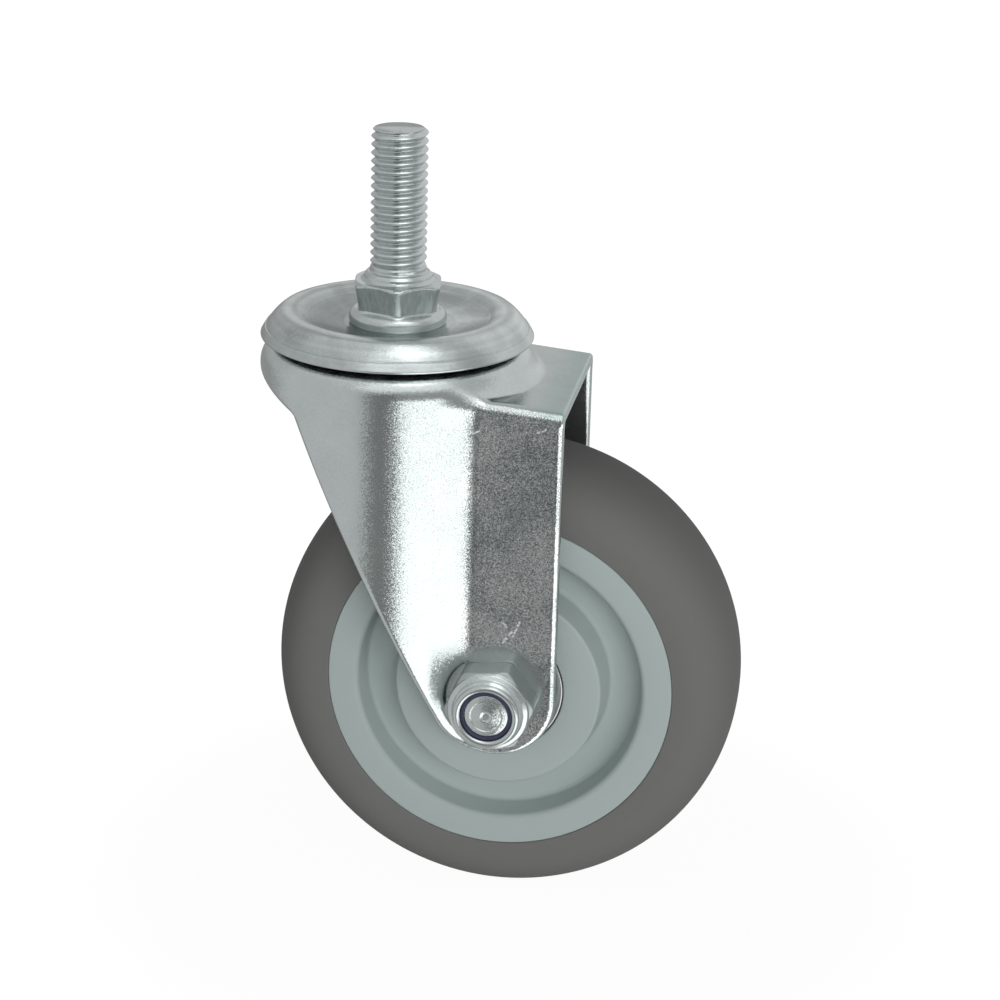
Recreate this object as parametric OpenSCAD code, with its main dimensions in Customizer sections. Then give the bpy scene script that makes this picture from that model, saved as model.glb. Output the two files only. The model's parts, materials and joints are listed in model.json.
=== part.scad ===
// Swivel castor with a threaded stem, a pressed steel fork and a rubber-tyred wheel.
// Millimetres. Z runs up the stem, Y along the axle, X back towards the wheel's trail.
// The origin is on the stem's axis, at the foot of its threaded shank.

/* [Stem] */
// Outside diameter of the threaded shank
stem_d = 11.86; // [8:0.02:16]
// Length of the threaded shank
stem_l = 28.2; // [15:0.1:60]
// Bevel at the shank's tip
stem_bevel = 0.8; // [0.3:0.1:1.5]
// Height of the waist and collar between the thread and the hexagon
neck_h = 3.6; // [2.5:0.1:8]
// Diameter of the collar at its foot
collar_d = 15.6; // [13:0.1:17]
// Width across flats at the top of the hexagon
hex_af = 18; // [17:0.5:19]
// Height of the hexagon
hex_h = 6.2; // [4:0.1:12]
// Draft of the hexagon's flats in degrees, narrower downwards
hex_draft = 9.5; // [0:0.5:11]
// Turn of the hexagon about the stem in degrees
hex_turn = 10; // [0:1:60]
// Diameter of the round flange
flange_d = 20.6; // [20:0.2:23]
// Height of the round flange
flange_h = 3.05; // [2:0.05:6]
// Diameter of the kingpin inside the head
kingpin_d = 14; // [11:0.5:15]
// Diameter of the kingpin's riveted end
rivet_d = 17; // [14:0.5:18]

/* [Top plate] */
// Diameter of the top plate
plate_d = 57.4; // [55:0.1:62]
// Sheet thickness of the top plate
plate_t = 2; // [1.5:0.1:2.5]
// Diameter of the flat in the middle of the dish
dish_d = 23; // [22:0.5:28]
// Height of the ridge above the middle of the dish
ridge_rise = 2.8; // [2:0.1:4]
// Reach of the vertical drop from the ridge to the rim
rim_drop = 3.65; // [3:0.05:4.5]

/* [Ball races] */
// Diameter of the circle on which the upper balls run
upper_race_d = 45.6; // [44:0.2:47]
// Diameter of an upper ball
upper_ball_d = 5.56; // [5:0.02:5.8]
// Number of upper balls
upper_ball_count = 24; // [12:1:24]
// Diameter of the circle on which the lower balls run
lower_race_d = 24.8; // [24:0.2:27]
// Diameter of a lower ball
lower_ball_d = 4.76; // [4:0.02:5]
// Number of lower balls
lower_ball_count = 15; // [8:1:15]
// Sheet thickness of the lower race cup
cup_t = 2; // [1.5:0.1:2.5]
// Outside diameter of the lower race cup
cup_d = 34; // [33:0.5:38]
// Free play between a ball and its groove
ball_play = 0.02; // [0.01:0.01:0.05]

/* [Fork] */
// Sheet thickness of the fork
fork_t = 2.5; // [2:0.1:3]
// Outside diameter of the round head
head_d = 57.4; // [56:0.2:60]
// Outside radius of the head's shoulder
shoulder_r = 5.4; // [4:0.2:6]
// Outside width over the two flat leg faces
fork_w = 45.6; // [44:0.2:48]
// Depth of the bridge's rear edge below the top of the head
bridge_drop = 6.5; // [6:0.05:9]
// Rise of the bridge towards the head in degrees
bridge_tilt = 5; // [0:0.5:7]
// Outside bend radius between the bridge and a leg
bend_r = 3; // [2.8:0.1:5]
// Outside radius of the hollow where a leg's round part meets its flat part
hollow_r = 6; // [4:0.5:8]
// Distance of the axle below the origin
axle_drop = 87; // [84:0.5:120]
// Trail of the axle behind the stem
axle_trail = 25.8; // [22:0.2:32]
// Radius of a leg's round end
leg_end_r = 13; // [11:0.2:15]
// Height of the kink at the top of a leg's front edge, below the top of the head
kink_drop = 10.85; // [9:0.05:13]
// Distance of that kink in front of the stem
kink_front = 17.3; // [14:0.1:20]
// Height of the front lip's lower edge, below the top of the head
lip_drop = 6.05; // [5.5:0.05:7]
// Diameter of the hole for the kingpin
head_hole_d = 17.2; // [16:0.2:18]

/* [Wheel] */
// Diameter of the wheel over the tyre
wheel_d = 100; // [90:0.5:102]
// Width of the tyre
tyre_w = 32; // [28:0.2:34]
// Diameter of the hub at its rim faces
rim_d = 73.7; // [70:0.1:80]
// Width of the hub over its rim faces
rim_w = 31.6; // [27:0.2:33]
// Diameter of the opening inside the rim face
rim_open_d = 61; // [60:0.2:66]
// Width of the hub over its boss faces
boss_w = 34; // [30:0.2:35]
// Diameter of the boss at its faces
boss_d = 43.8; // [40:0.2:48]
// Draft of the boss and the rim's inside in degrees
hub_draft = 9; // [3:1:12]
// Thickness of the web between the boss and the rim
web_t = 18.6; // [8:0.2:22]
// Height of the hub's buried rib inside the tyre
rib_h = 2.4; // [1:0.2:4]
// Roundness of the tyre's section, 2 is an ellipse
tyre_squareness = 2.4; // [2:0.1:3]

/* [Bearings] */
// Bore of a ball bearing
bearing_bore = 12; // [12:0.5:13]
// Outside diameter of a ball bearing
bearing_d = 28; // [28:0.5:30]
// Width of a ball bearing
bearing_w = 8; // [7:0.5:9]
// Diameter of a bearing ball
bearing_ball_d = 4.76; // [4:0.02:5]
// Number of balls in a bearing
bearing_ball_count = 8; // [6:1:9]
// Depth of a bearing's face below the boss face
bearing_inset = 0.2; // [0:0.1:1]

/* [Axle] */
// Diameter of the axle bolt
bolt_d = 9.9; // [8:0.1:10]
// Width across flats of the bolt's head and of the nut
wrench_af = 17; // [16:0.5:18]
// Height of the bolt's head
bolt_head_h = 6.4; // [5:0.1:7]
// Height of the locknut
nut_h = 9.7; // [9:0.1:11]
// Height of the nut's hexagon, below its round collar
nut_hex_h = 6.4; // [5:0.1:7]
// Distance of the bolt's end inside the top of the nut
bolt_end_inset = 1; // [0.6:0.1:1.5]

/* [Hidden] */
$fn = 96;

// Small clearances
slip = 0.02;        // between two round faces that are fitted together
turning = 0.2;      // between a seal and the ring that turns past it
cut = 1;            // how far a cutting shape runs past the face that it cuts

// Colours
zinc = [0.74, 0.76, 0.77];
bearing_steel = [0.62, 0.63, 0.64];
dark_seal = [0.13, 0.13, 0.14];
nylon_blue = [0.16, 0.17, 0.30];
hub_grey = [0.60, 0.66, 0.65];
tyre_grey = [0.36, 0.36, 0.35];

// Heights down the stem
hex_top_z = -neck_h;
flange_top_z = hex_top_z - hex_h;
seat_z = flange_top_z - flange_h;
neck_r = stem_d / 2 - 0.6;
hex_corner_drop = 0.8;  // how far a corner of the hexagon is bevelled down

// The top plate: its ridge is a round channel over the upper balls
race_play = 0.22;   // how much wider than its ball a groove's radius is
upper_race_r = upper_race_d / 2;
upper_ball_r = upper_ball_d / 2;
upper_groove_r = upper_ball_r + race_play;
ridge_r = upper_groove_r + plate_t;
ridge_z = seat_z + ridge_rise - ridge_r;
plate_r = plate_d / 2;
rim_top_z = seat_z + ridge_rise - rim_drop;
ridge_in = 132;     // where the ridge's round starts, in degrees from +X
ridge_out = 50;     // where it ends and the straight flank down to the rim starts

// The fork's head: a shallow groove on top and a raised ring over the lower balls
upper_ball_z = ridge_z + race_play - ball_play;
upper_groove_z = upper_ball_z + race_play - ball_play;
upper_groove_depth = 0.8;
head_top_z = upper_groove_z - upper_groove_r + upper_groove_depth;
head_under_z = head_top_z - fork_t;
head_r = head_d / 2;
lower_race_r = lower_race_d / 2;
lower_ball_r = lower_ball_d / 2;
lower_groove_r = lower_ball_r + race_play;
lower_groove_depth = 0.8;
lower_dome_z = head_under_z + lower_groove_depth - lower_groove_r;
lower_ball_z = lower_dome_z + race_play - ball_play;

// The lower race cup and the kingpin's end
cup_groove_z = lower_ball_z - ball_play + race_play;
cup_floor_z = cup_groove_z - lower_groove_r;
cup_seat_z = cup_floor_z + 0.6;
cup_under_z = cup_seat_z - cup_t;
cup_hole_r = kingpin_d / 2 - 1.5;
cup_lip_h = 2.2;
rivet_h = 2.2;

// The fork's outline
fork_x = axle_trail + leg_end_r;
leg_y = fork_w / 2;
axle_z = -axle_drop;
bridge_z = head_top_z - bridge_drop;
kink_z = head_top_z - kink_drop;
lip_z = head_top_z - lip_drop;
hollow_x = sqrt(pow(head_r + hollow_r, 2) - pow(leg_y + hollow_r, 2));
bridge_head_z = bridge_z + (fork_x - hollow_x) * tan(bridge_tilt);
axle_hole_r = bolt_d / 2 + 0.25;
leg_foot_z = axle_z - leg_end_r - cut;
foot_fillet = 1.8;  // hollow at the foot of the head's wall on the bridge

// The wheel and what carries it
wheel_r = wheel_d / 2;
rim_r = rim_d / 2;
rim_y = rim_w / 2;
rim_open_r = rim_open_d / 2;
boss_y = boss_w / 2;
boss_r = boss_d / 2;
web_y = web_t / 2;
boss_foot_r = boss_r + (boss_y - web_y) * tan(hub_draft);
rim_foot_r = rim_open_r - (rim_y - web_y) * tan(hub_draft);
tyre_base_r = rim_r + 2;
gap_y = leg_y - fork_t;
bearing_r = bearing_d / 2;
bore_r = bearing_bore / 2;
bearing_y = boss_y - bearing_inset - bearing_w / 2;
pitch_r = (bearing_r + bore_r) / 2;
ring_wall = 2.4;
sleeve_r = bore_r - slip;
sleeve_bore_r = bolt_d / 2 + 0.15;
inner_land_r = bore_r + ring_wall;
outer_land_r = bearing_r - ring_wall;
cage_half_w = bearing_ball_d / 2 + 0.35;

// The axle's nut and bolt
bolt_r = bolt_d / 2;
nut_top_y = leg_y + nut_h;
bolt_end_y = nut_top_y - bolt_end_inset;
nut_collar_r = wrench_af * 0.4;
insert_r = bolt_r + 0.45;
insert_w = 2.2;
insert_inset = 0.5;
nut_corner_r = wrench_af / 2 / cos(30);
nut_seat_r = nut_corner_r + 0.2;
nut_turn = 6;       // how far the nut's flats are turned, in degrees

// Points along an arc about (x, z), from angle a to angle b
function arc(x, z, r, a, b, n = 10) =
    [for (i = [0 : n]) let (t = a + (b - a) * i / n) [x + r * cos(t), z + r * sin(t)]];

// A quarter of the tyre's section, from its side (0) to its tread (90)
function tyre_point(t) = [
    tyre_base_r + (wheel_r - tyre_base_r) * pow(sin(t), 2 / tyre_squareness),
    tyre_w / 2 * pow(cos(t), 2 / tyre_squareness)];

// Turns a shape that was made about Z so that it lies about the axle
module on_axle() translate([axle_trail, 0, axle_z]) rotate([90, 0, 0]) children();

// A ring of balls about Z
module ball_ring(race_r, ball_r, count)
    for (i = [0 : count - 1]) rotate([0, 0, 360 * i / count]) translate([race_r, 0, 0]) sphere(r = ball_r);

// A flat ring, bevelled at its four edges
module bevelled_ring(inner_r, outer_r, low, high, bevel = 0.3)
    rotate_extrude() polygon([
        [inner_r, low + bevel], [inner_r + bevel, low], [outer_r - bevel, low], [outer_r, low + bevel],
        [outer_r, high - bevel], [outer_r - bevel, high], [inner_r + bevel, high], [inner_r, high - bevel]]);

// A hexagon with its corners bevelled by a cone at the top
module hexagon_with_bevel(af, height, bevel_angle = 30) {
    corner_r = af / 2 / cos(30);
    drop = (corner_r - af / 2) * tan(bevel_angle);
    intersection() {
        cylinder(r = corner_r, h = height, $fn = 6);
        cylinder(r1 = corner_r + (height - drop) / tan(bevel_angle), r2 = af / 2, h = height);
    }
}

// Forged in one piece: threaded shank, waist, collar, hexagon, flange, kingpin and its riveted end
module threaded_stem() color(zinc) {
    stem_r = stem_d / 2;
    collar_r = collar_d / 2;
    edge = 1.2;
    hex_corner_r = hex_af / 2 / cos(30) - 0.25;
    rotate_extrude() polygon(concat(
        [[0, stem_l], [stem_r - stem_bevel, stem_l], [stem_r, stem_l - stem_bevel], [stem_r, 0],
         [neck_r, -0.3], [neck_r, hex_top_z * 0.2]],
        [[neck_r + 0.85, hex_top_z * 0.38], [neck_r + 0.95, hex_top_z * 0.45],
         [collar_r - 0.75, hex_top_z * 0.5], [collar_r - 0.5, hex_top_z * 0.62],
         [collar_r - 0.3, hex_top_z * 0.9], [collar_r, hex_top_z], [collar_r, hex_top_z - cut],
         [0, hex_top_z - cut]]));
    difference() {
        rotate_extrude() polygon([
            [0, flange_top_z - 0.5], [hex_corner_r, flange_top_z - 0.5],
            [hex_corner_r, hex_top_z - hex_corner_drop], [hex_af / 2, hex_top_z], [0, hex_top_z]]);
        for (i = [0 : 5]) rotate([0, 0, 60 * i + hex_turn]) translate([hex_af / 2, -hex_af, hex_top_z])
            rotate([0, hex_draft, 0]) translate([0, 0, -2 * hex_h]) cube([hex_af, 2 * hex_af, 3 * hex_h]);
    }
    rotate_extrude() polygon(concat(
        [[0, seat_z], [flange_d / 2 - edge, seat_z]],
        arc(flange_d / 2 - edge, seat_z + edge, edge, -90, 60, 10),
        [[hex_af / 2 - 1, flange_top_z], [0, flange_top_z]]));
    translate([0, 0, cup_seat_z]) cylinder(r = kingpin_d / 2 - slip, h = seat_z - cup_seat_z);
    translate([0, 0, cup_under_z - 0.1]) cylinder(r = cup_hole_r - slip, h = cup_seat_z - cup_under_z + 0.2);
    translate([0, 0, cup_under_z - rivet_h]) rotate_extrude() polygon(concat(
        [[0, 0], [rivet_d / 2 - 1.6, 0]],
        arc(rivet_d / 2 - 1.6, 1.6, 1.6, -90, 0, 6),
        [[rivet_d / 2, rivet_h], [0, rivet_h]]));
}

// Pressed sheet: a dish in the middle, and a ridge over the upper balls that drops to the rim
module top_plate() color(zinc) {
    valley_r = upper_race_r + ridge_r * cos(ridge_in);
    valley_z = ridge_z + ridge_r * sin(ridge_in);
    under_in = 150;
    rim_edge_r = 0.8;
    burr = 0.25;
    rotate_extrude() polygon(concat(
        [[kingpin_d / 2, seat_z - plate_t], [kingpin_d / 2, seat_z], [dish_d / 2, seat_z],
         [valley_r - 0.8, valley_z - 0.2]],
        arc(upper_race_r, ridge_z, ridge_r, ridge_in, ridge_out, 20),
        arc(plate_r - rim_edge_r, rim_top_z - rim_edge_r, rim_edge_r, ridge_out, 0, 4),
        [[plate_r, rim_top_z - plate_t + burr], [plate_r - burr, rim_top_z - plate_t]],
        arc(upper_race_r, ridge_z, upper_groove_r, ridge_out, under_in, 20),
        [[dish_d / 2, seat_z - plate_t]]));
}

module upper_balls() color(bearing_steel)
    translate([0, 0, upper_ball_z]) ball_ring(upper_race_r, upper_ball_r, upper_ball_count);

// Tips a shape about the bridge's rear edge, so that it rises towards the head
module on_bridge()
    translate([fork_x, 0, bridge_z]) rotate([0, bridge_tilt, 0]) translate([-fork_x, 0, -bridge_z]) children();

// The solid that the fork's sheet wraps, taken in from the outer face by depth d
module fork_envelope(d) difference() {
    fork_bulk(d);
    // Flat seats pressed round the axle, for the nut and the bolt's head
    on_axle() for (s = [0, 1]) mirror([0, 0, s]) translate([0, 0, leg_y - d])
        cylinder(r = nut_seat_r + d * 0.6, h = head_r);
}

// That solid before the seats are pressed
module fork_bulk(d) {
    top_z = head_top_z - d;
    rotate_extrude() polygon(concat(
        [[0, leg_foot_z], [head_r - d, leg_foot_z], [head_r - d, head_top_z - shoulder_r]],
        arc(head_r - shoulder_r, head_top_z - shoulder_r, shoulder_r - d, 0, 90, 12),
        [[0, top_z]]));
    on_bridge() rotate([90, 0, 90]) linear_extrude(fork_x + leg_end_r) {
        translate([-leg_y + d, leg_foot_z - 5 * cut])
            square([fork_w - 2 * d, bridge_z - bend_r - leg_foot_z + 5 * cut]);
        translate([-leg_y + bend_r, leg_foot_z - 5 * cut])
            square([fork_w - 2 * bend_r, bridge_z - d - leg_foot_z + 5 * cut]);
        for (s = [-1, 1]) translate([s * (leg_y - bend_r), bridge_z - bend_r]) circle(r = bend_r - d);
    }
    for (s = [-1, 1]) translate([0, 0, leg_foot_z])
        linear_extrude(bridge_head_z - bend_r * 0.3 - d - leg_foot_z) difference() {
            polygon([[hollow_x, 0], [hollow_x, s * (leg_y - d)],
                     [hollow_x * (head_r - d) / (head_r + hollow_r), s * (leg_y + hollow_r) * (head_r - d)
                         / (head_r + hollow_r)], [0, 0]]);
            translate([hollow_x, s * (leg_y + hollow_r)]) circle(r = hollow_r + d);
        }
}

// The fork seen from the side, as a flat shape in X and Z
module fork_profile() {
    reach = sqrt(pow(axle_trail + kink_front, 2) + pow(kink_z - axle_z, 2));
    slant = atan2(kink_z - axle_z, -kink_front - axle_trail) + acos(leg_end_r / reach);
    sunk_r = leg_end_r - slip;  // the straight edges run just inside the round end
    front_low = [axle_trail + sunk_r * cos(slant), axle_z + sunk_r * sin(slant)];
    rim_slope = (lip_z - kink_z) / (head_r - kink_front);
    translate([axle_trail, axle_z]) circle(r = leg_end_r);
    polygon([[-head_r - cut, head_top_z + 2 * cut], [-head_r - cut, lip_z + cut * rim_slope],
             [-kink_front, kink_z], front_low, [axle_trail, axle_z], [axle_trail + sunk_r, axle_z],
             [fork_x, head_top_z + 2 * cut]]);
}

// Pressed from one sheet: round head, bridge and two legs
module fork() color(zinc) difference() {
    union() {
        difference() {
            intersection() {
                fork_envelope(0);
                translate([0, leg_y + head_r, 0]) rotate([90, 0, 0]) linear_extrude(2 * (leg_y + head_r))
                    fork_profile();
            }
            fork_envelope(fork_t);
        }
        // Ring pressed up over the lower balls
        translate([0, 0, lower_dome_z]) rotate_extrude() intersection() {
            translate([lower_race_r, 0]) circle(r = lower_groove_r + fork_t);
            translate([0, head_top_z - lower_dome_z - 0.5]) square([head_r, 2 * fork_t]);
        }
        // Hollow fillet at the foot of the head's wall, on the bridge
        on_bridge() intersection() {
            translate([0, 0, bridge_z - cut]) rotate_extrude() difference() {
                translate([head_r - cut, 0]) square([foot_fillet + cut, foot_fillet + cut]);
                translate([head_r + foot_fillet, foot_fillet + cut]) circle(r = foot_fillet);
            }
            translate([hollow_x, -leg_y + bend_r, bridge_z - cut])
                cube([head_r, fork_w - 2 * bend_r, 2 * foot_fillet]);
        }
    }
    translate([0, 0, head_top_z - 3 * fork_t]) cylinder(d = head_hole_d, h = 6 * fork_t);
    // Groove for the upper balls
    translate([0, 0, upper_groove_z]) rotate_extrude()
        translate([upper_race_r, 0]) circle(r = upper_groove_r);
    // Groove for the lower balls
    translate([0, 0, lower_dome_z]) rotate_extrude()
        translate([lower_race_r, 0]) circle(r = lower_groove_r);
    on_axle() translate([0, 0, -leg_y - cut]) cylinder(r = axle_hole_r, h = fork_w + 2 * cut);
}

module lower_balls() color(bearing_steel)
    translate([0, 0, lower_ball_z]) ball_ring(lower_race_r, lower_ball_r, lower_ball_count);

// Pressed cup that holds the lower balls up against the fork
module lower_race_cup() color(zinc) {
    cup_r = cup_d / 2;
    lip_z_top = cup_floor_z + cup_lip_h;
    difference() {
        rotate_extrude() polygon([
            [cup_hole_r, cup_under_z], [cup_hole_r, cup_seat_z], [cup_r - cup_t - 0.4, cup_seat_z],
            [cup_r - cup_t, cup_seat_z + 0.4], [cup_r - cup_t, lip_z_top], [cup_r, lip_z_top],
            [cup_r, cup_under_z + 1.2], [cup_r - 1.2, cup_under_z]]);
        translate([0, 0, cup_groove_z]) rotate_extrude()
            translate([lower_race_r, 0]) circle(r = lower_groove_r);
    }
}

// Hexagon-headed bolt, its head on the far leg and its end inside the locknut
module axle_bolt() color(zinc) on_axle() {
    end_bevel = 0.8;
    translate([0, 0, -leg_y]) cylinder(r = bolt_r, h = leg_y + bolt_end_y - end_bevel);
    translate([0, 0, bolt_end_y - end_bevel]) cylinder(r1 = bolt_r, r2 = bolt_r - end_bevel, h = end_bevel);
    translate([0, 0, -leg_y]) rotate([180, 0, 0]) hexagon_with_bevel(wrench_af, bolt_head_h);
}

// Locknut: a hexagon with a round collar that holds the nylon ring
module axle_nut() color(zinc) on_axle() translate([0, 0, leg_y]) difference() {
    union() {
        rotate([0, 0, nut_turn]) hexagon_with_bevel(wrench_af, nut_hex_h, 28);
        rotate_extrude() polygon(concat(
            [[0, nut_hex_h - 0.5], [wrench_af / 2 - 0.2, nut_hex_h - 0.5],
             [wrench_af / 2 - 0.6, nut_hex_h + 0.4]],
            arc(nut_collar_r - 1, nut_h - 1, 1, 20, 90, 6),
            [[0, nut_h]]));
    }
    translate([0, 0, -cut]) cylinder(r = bolt_r + slip, h = nut_h + 2 * cut);
    translate([0, 0, nut_h - insert_inset - insert_w]) cylinder(r = insert_r, h = nut_h);
}

module nut_insert() color(nylon_blue) on_axle()
    bevelled_ring(bolt_r + slip, insert_r - slip, nut_top_y - insert_inset - insert_w,
        nut_top_y - insert_inset, 0.15);

// Tube that the bolt clamps between the two legs
module axle_sleeve() color(zinc) on_axle()
    bevelled_ring(sleeve_bore_r, sleeve_r, -gap_y, gap_y, 0.2);

// Tube between the two bearings' inner rings
module bearing_spacer() color(zinc) on_axle()
    bevelled_ring(bore_r, inner_land_r - 0.2, -bearing_y + bearing_w / 2, bearing_y - bearing_w / 2);

// Ring between a bearing's inner ring and a leg; s is 1 on the nut's side
module side_spacer(s) color(zinc) on_axle()
    translate([0, 0, s > 0 ? bearing_y + bearing_w / 2 : -gap_y])
        bevelled_ring(bore_r, inner_land_r - 0.2, 0, gap_y - bearing_y - bearing_w / 2);

module nut_side_spacer() side_spacer(1);
module head_side_spacer() side_spacer(-1);

// Moulded hub: rim, web and boss, with seats for the bearings
module wheel_hub() color(hub_grey) on_axle() {
    edge = 0.5;
    lip = 1.3;
    rib_y = 5;
    bearing_floor = boss_y - bearing_inset - bearing_w;
    half = concat(
        [[outer_land_r, 0], [outer_land_r, bearing_floor], [bearing_r + slip, bearing_floor],
         [bearing_r + slip, boss_y - edge], [bearing_r + edge, boss_y]],
        arc(boss_r - edge, boss_y - edge, edge, 90, hub_draft, 4),
        [[boss_foot_r, web_y], [rim_foot_r, web_y]],
        arc(rim_open_r + lip, rim_y - lip, lip, 180 - hub_draft, 90, 6),
        [[rim_r - 0.3, rim_y], [rim_r, rim_y - 0.3], [rim_r, rib_y], [rim_r + rib_h, rib_y - 1],
         [rim_r + rib_h, 0]]);
    rotate_extrude() polygon(concat(half,
        [for (i = [len(half) - 2 : -1 : 1]) [half[i][0], -half[i][1]]]));
}

// Rubber tyre, moulded over the hub's rim and its rib
module tyre() color(tyre_grey) on_axle() {
    steps = 14;
    rib_y = 5;
    side = [for (i = [0 : steps]) tyre_point(90 * i / steps)];
    half = concat(
        [[rim_r + slip + rib_h, 0], [rim_r + slip + rib_h, rib_y - 1 + slip],
         [rim_r + slip, rib_y + slip], [rim_r + slip, tyre_w / 2 - 0.2], [rim_r + 0.3, tyre_w / 2]],
        side);
    rotate_extrude($fn = 144) polygon(concat(half,
        [for (i = [len(half) - 2 : -1 : 1]) [half[i][0], -half[i][1]]]));
}

// The parts of one ball bearing; s is 1 on the nut's side and -1 on the bolt head's
module at_bearing(s) on_axle() translate([0, 0, s * bearing_y]) children();

module outer_ring(s) color(bearing_steel) at_bearing(s) difference() {
    bevelled_ring(outer_land_r, bearing_r, -bearing_w / 2, bearing_w / 2);
    rotate_extrude() translate([pitch_r, 0]) circle(d = bearing_ball_d + 2 * ball_play);
}

module inner_ring(s) color(bearing_steel) at_bearing(s) difference() {
    bevelled_ring(bore_r, inner_land_r, -bearing_w / 2, bearing_w / 2);
    rotate_extrude() translate([pitch_r, 0]) circle(d = bearing_ball_d + 2 * ball_play);
}

module bearing_balls(s) color(bearing_steel) at_bearing(s)
    ball_ring(pitch_r, bearing_ball_d / 2, bearing_ball_count);

module cage(s) color(zinc) at_bearing(s) difference() {
    bevelled_ring(pitch_r - 0.6, pitch_r + 0.6, -cage_half_w, cage_half_w, 0.2);
    for (i = [0 : bearing_ball_count - 1]) rotate([0, 0, 360 * i / bearing_ball_count])
        translate([pitch_r - cut, 0, 0]) rotate([0, 90, 0])
            cylinder(r = bearing_ball_d / 2 + ball_play, h = 2 * cut);
}

// A seal sits in the outer ring and clears the inner one; side is 1 for the seal away from the web
module seal(s, side) color(dark_seal) at_bearing(s) translate([0, 0, s * side * (bearing_w / 2 - 0.4)])
    bevelled_ring(inner_land_r + turning, outer_land_r - slip, -0.3, 0.3, 0.1);

module nut_side_outer_ring() outer_ring(1);
module nut_side_inner_ring() inner_ring(1);
module nut_side_balls() bearing_balls(1);
module nut_side_cage() cage(1);
module nut_side_outer_seal() seal(1, 1);
module nut_side_inner_seal() seal(1, -1);
module head_side_outer_ring() outer_ring(-1);
module head_side_inner_ring() inner_ring(-1);
module head_side_balls() bearing_balls(-1);
module head_side_cage() cage(-1);
module head_side_outer_seal() seal(-1, 1);
module head_side_inner_seal() seal(-1, -1);

threaded_stem();
top_plate();
upper_balls();
fork();
lower_balls();
lower_race_cup();
axle_bolt();
axle_nut();
nut_insert();
axle_sleeve();
bearing_spacer();
nut_side_spacer();
head_side_spacer();
wheel_hub();
tyre();
nut_side_outer_ring();
nut_side_inner_ring();
nut_side_balls();
nut_side_cage();
nut_side_outer_seal();
nut_side_inner_seal();
head_side_outer_ring();
head_side_inner_ring();
head_side_balls();
head_side_cage();
head_side_outer_seal();
head_side_inner_seal();
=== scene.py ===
"""Surfaces and finishes of a swivel castor with a threaded stem, a pressed fork and a rubber-tyred wheel.

Lengths are metres in the castor's own frame: Z up the stem, Y along the axle, X back towards the wheel.
"""

import functools
import json
import math

import bmesh
import bpy
import numpy as np
from mathutils import Matrix, Vector


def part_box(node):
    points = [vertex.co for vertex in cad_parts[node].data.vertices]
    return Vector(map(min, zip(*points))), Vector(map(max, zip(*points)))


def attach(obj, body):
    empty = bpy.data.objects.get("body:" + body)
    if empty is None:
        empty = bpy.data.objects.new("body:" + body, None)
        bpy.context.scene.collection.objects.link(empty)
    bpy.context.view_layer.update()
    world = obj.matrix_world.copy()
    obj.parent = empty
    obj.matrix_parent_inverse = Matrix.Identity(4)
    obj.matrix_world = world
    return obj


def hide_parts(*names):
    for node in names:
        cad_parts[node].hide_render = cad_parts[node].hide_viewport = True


bl_info = {
    "name": "Swivel castor",
    "version": (1, 0, 0),
    "blender": (4, 5, 0),
    "location": "3D View > Sidebar > Castor",
    "description": "Builds the surfaces and finishes of a stem castor around its fixed frame",
    "category": "Object",
}

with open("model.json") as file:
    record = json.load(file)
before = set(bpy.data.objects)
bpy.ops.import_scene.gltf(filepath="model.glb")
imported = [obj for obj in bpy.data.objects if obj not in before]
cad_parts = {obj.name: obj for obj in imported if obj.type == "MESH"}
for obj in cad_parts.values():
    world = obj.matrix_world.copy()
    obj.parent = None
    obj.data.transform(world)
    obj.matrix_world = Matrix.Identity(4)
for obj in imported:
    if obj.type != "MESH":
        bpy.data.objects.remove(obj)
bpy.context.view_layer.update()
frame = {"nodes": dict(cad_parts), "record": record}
MM = 0.001
FINENESS = 1.0


def centre_of(node):
    """Middle of a fixed node's box."""
    low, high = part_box(node)
    return (low + high) / 2


def reach_of(node):
    """Half the size of a fixed node's box along X, Y and Z."""
    low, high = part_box(node)
    return (high - low) / 2


AXLE = centre_of("tyre")
WHEEL_RADIUS = reach_of("tyre").z
TYRE_HALF_WIDTH = reach_of("tyre").y
STEM_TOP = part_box("threaded_stem")[1].z
RIVET_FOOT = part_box("threaded_stem")[0].z
PLATE_RADIUS = reach_of("top_plate").x
PLATE_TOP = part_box("top_plate")[1].z
UPPER_BALL_Z = centre_of("upper_balls").z
UPPER_BALL_R = reach_of("upper_balls").z
UPPER_RACE_R = reach_of("upper_balls").x - UPPER_BALL_R
LOWER_BALL_Z = centre_of("lower_balls").z
LOWER_BALL_R = reach_of("lower_balls").z
LOWER_RACE_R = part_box("lower_balls")[1].x - LOWER_BALL_R
HEAD_RADIUS = -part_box("fork")[0].x
FORK_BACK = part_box("fork")[1].x
LEG_END_RADIUS = AXLE.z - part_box("fork")[0].z
LEG_INSIDE = reach_of("axle_sleeve").y
NUT_END = -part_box("axle_nut")[0].y
BEARING_RADIUS = reach_of("nut_side_outer_ring").x
BEARING_OUT = -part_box("nut_side_outer_ring")[0].y
BEARING_WIDTH = 2 * reach_of("nut_side_outer_ring").y
HUB_HALF_WIDTH = reach_of("wheel_hub").y

COS_30 = math.cos(math.radians(30))
# Gap between fitted pieces; how much larger a ball's groove is than the ball, and how far it is moved
GAP = 0.02 * MM
GROOVE_PLAY = 0.22 * MM
GROOVE_SHIFT = 0.2 * MM
# Thickness of the bolt's head
BOLT_HEAD = 6.4 * MM
# Heights of the flange's seat on the plate and of the fork's head, with the upper balls' groove in it
PLATE_SEAT = PLATE_TOP - 2.8 * MM
HEAD_TOP = UPPER_BALL_Z - UPPER_BALL_R - GAP + 0.8 * MM


def a_length(name, default, description):
    """A setting that is a length."""
    return bpy.props.FloatProperty(name=name, description=description, default=default, unit="LENGTH")


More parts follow.
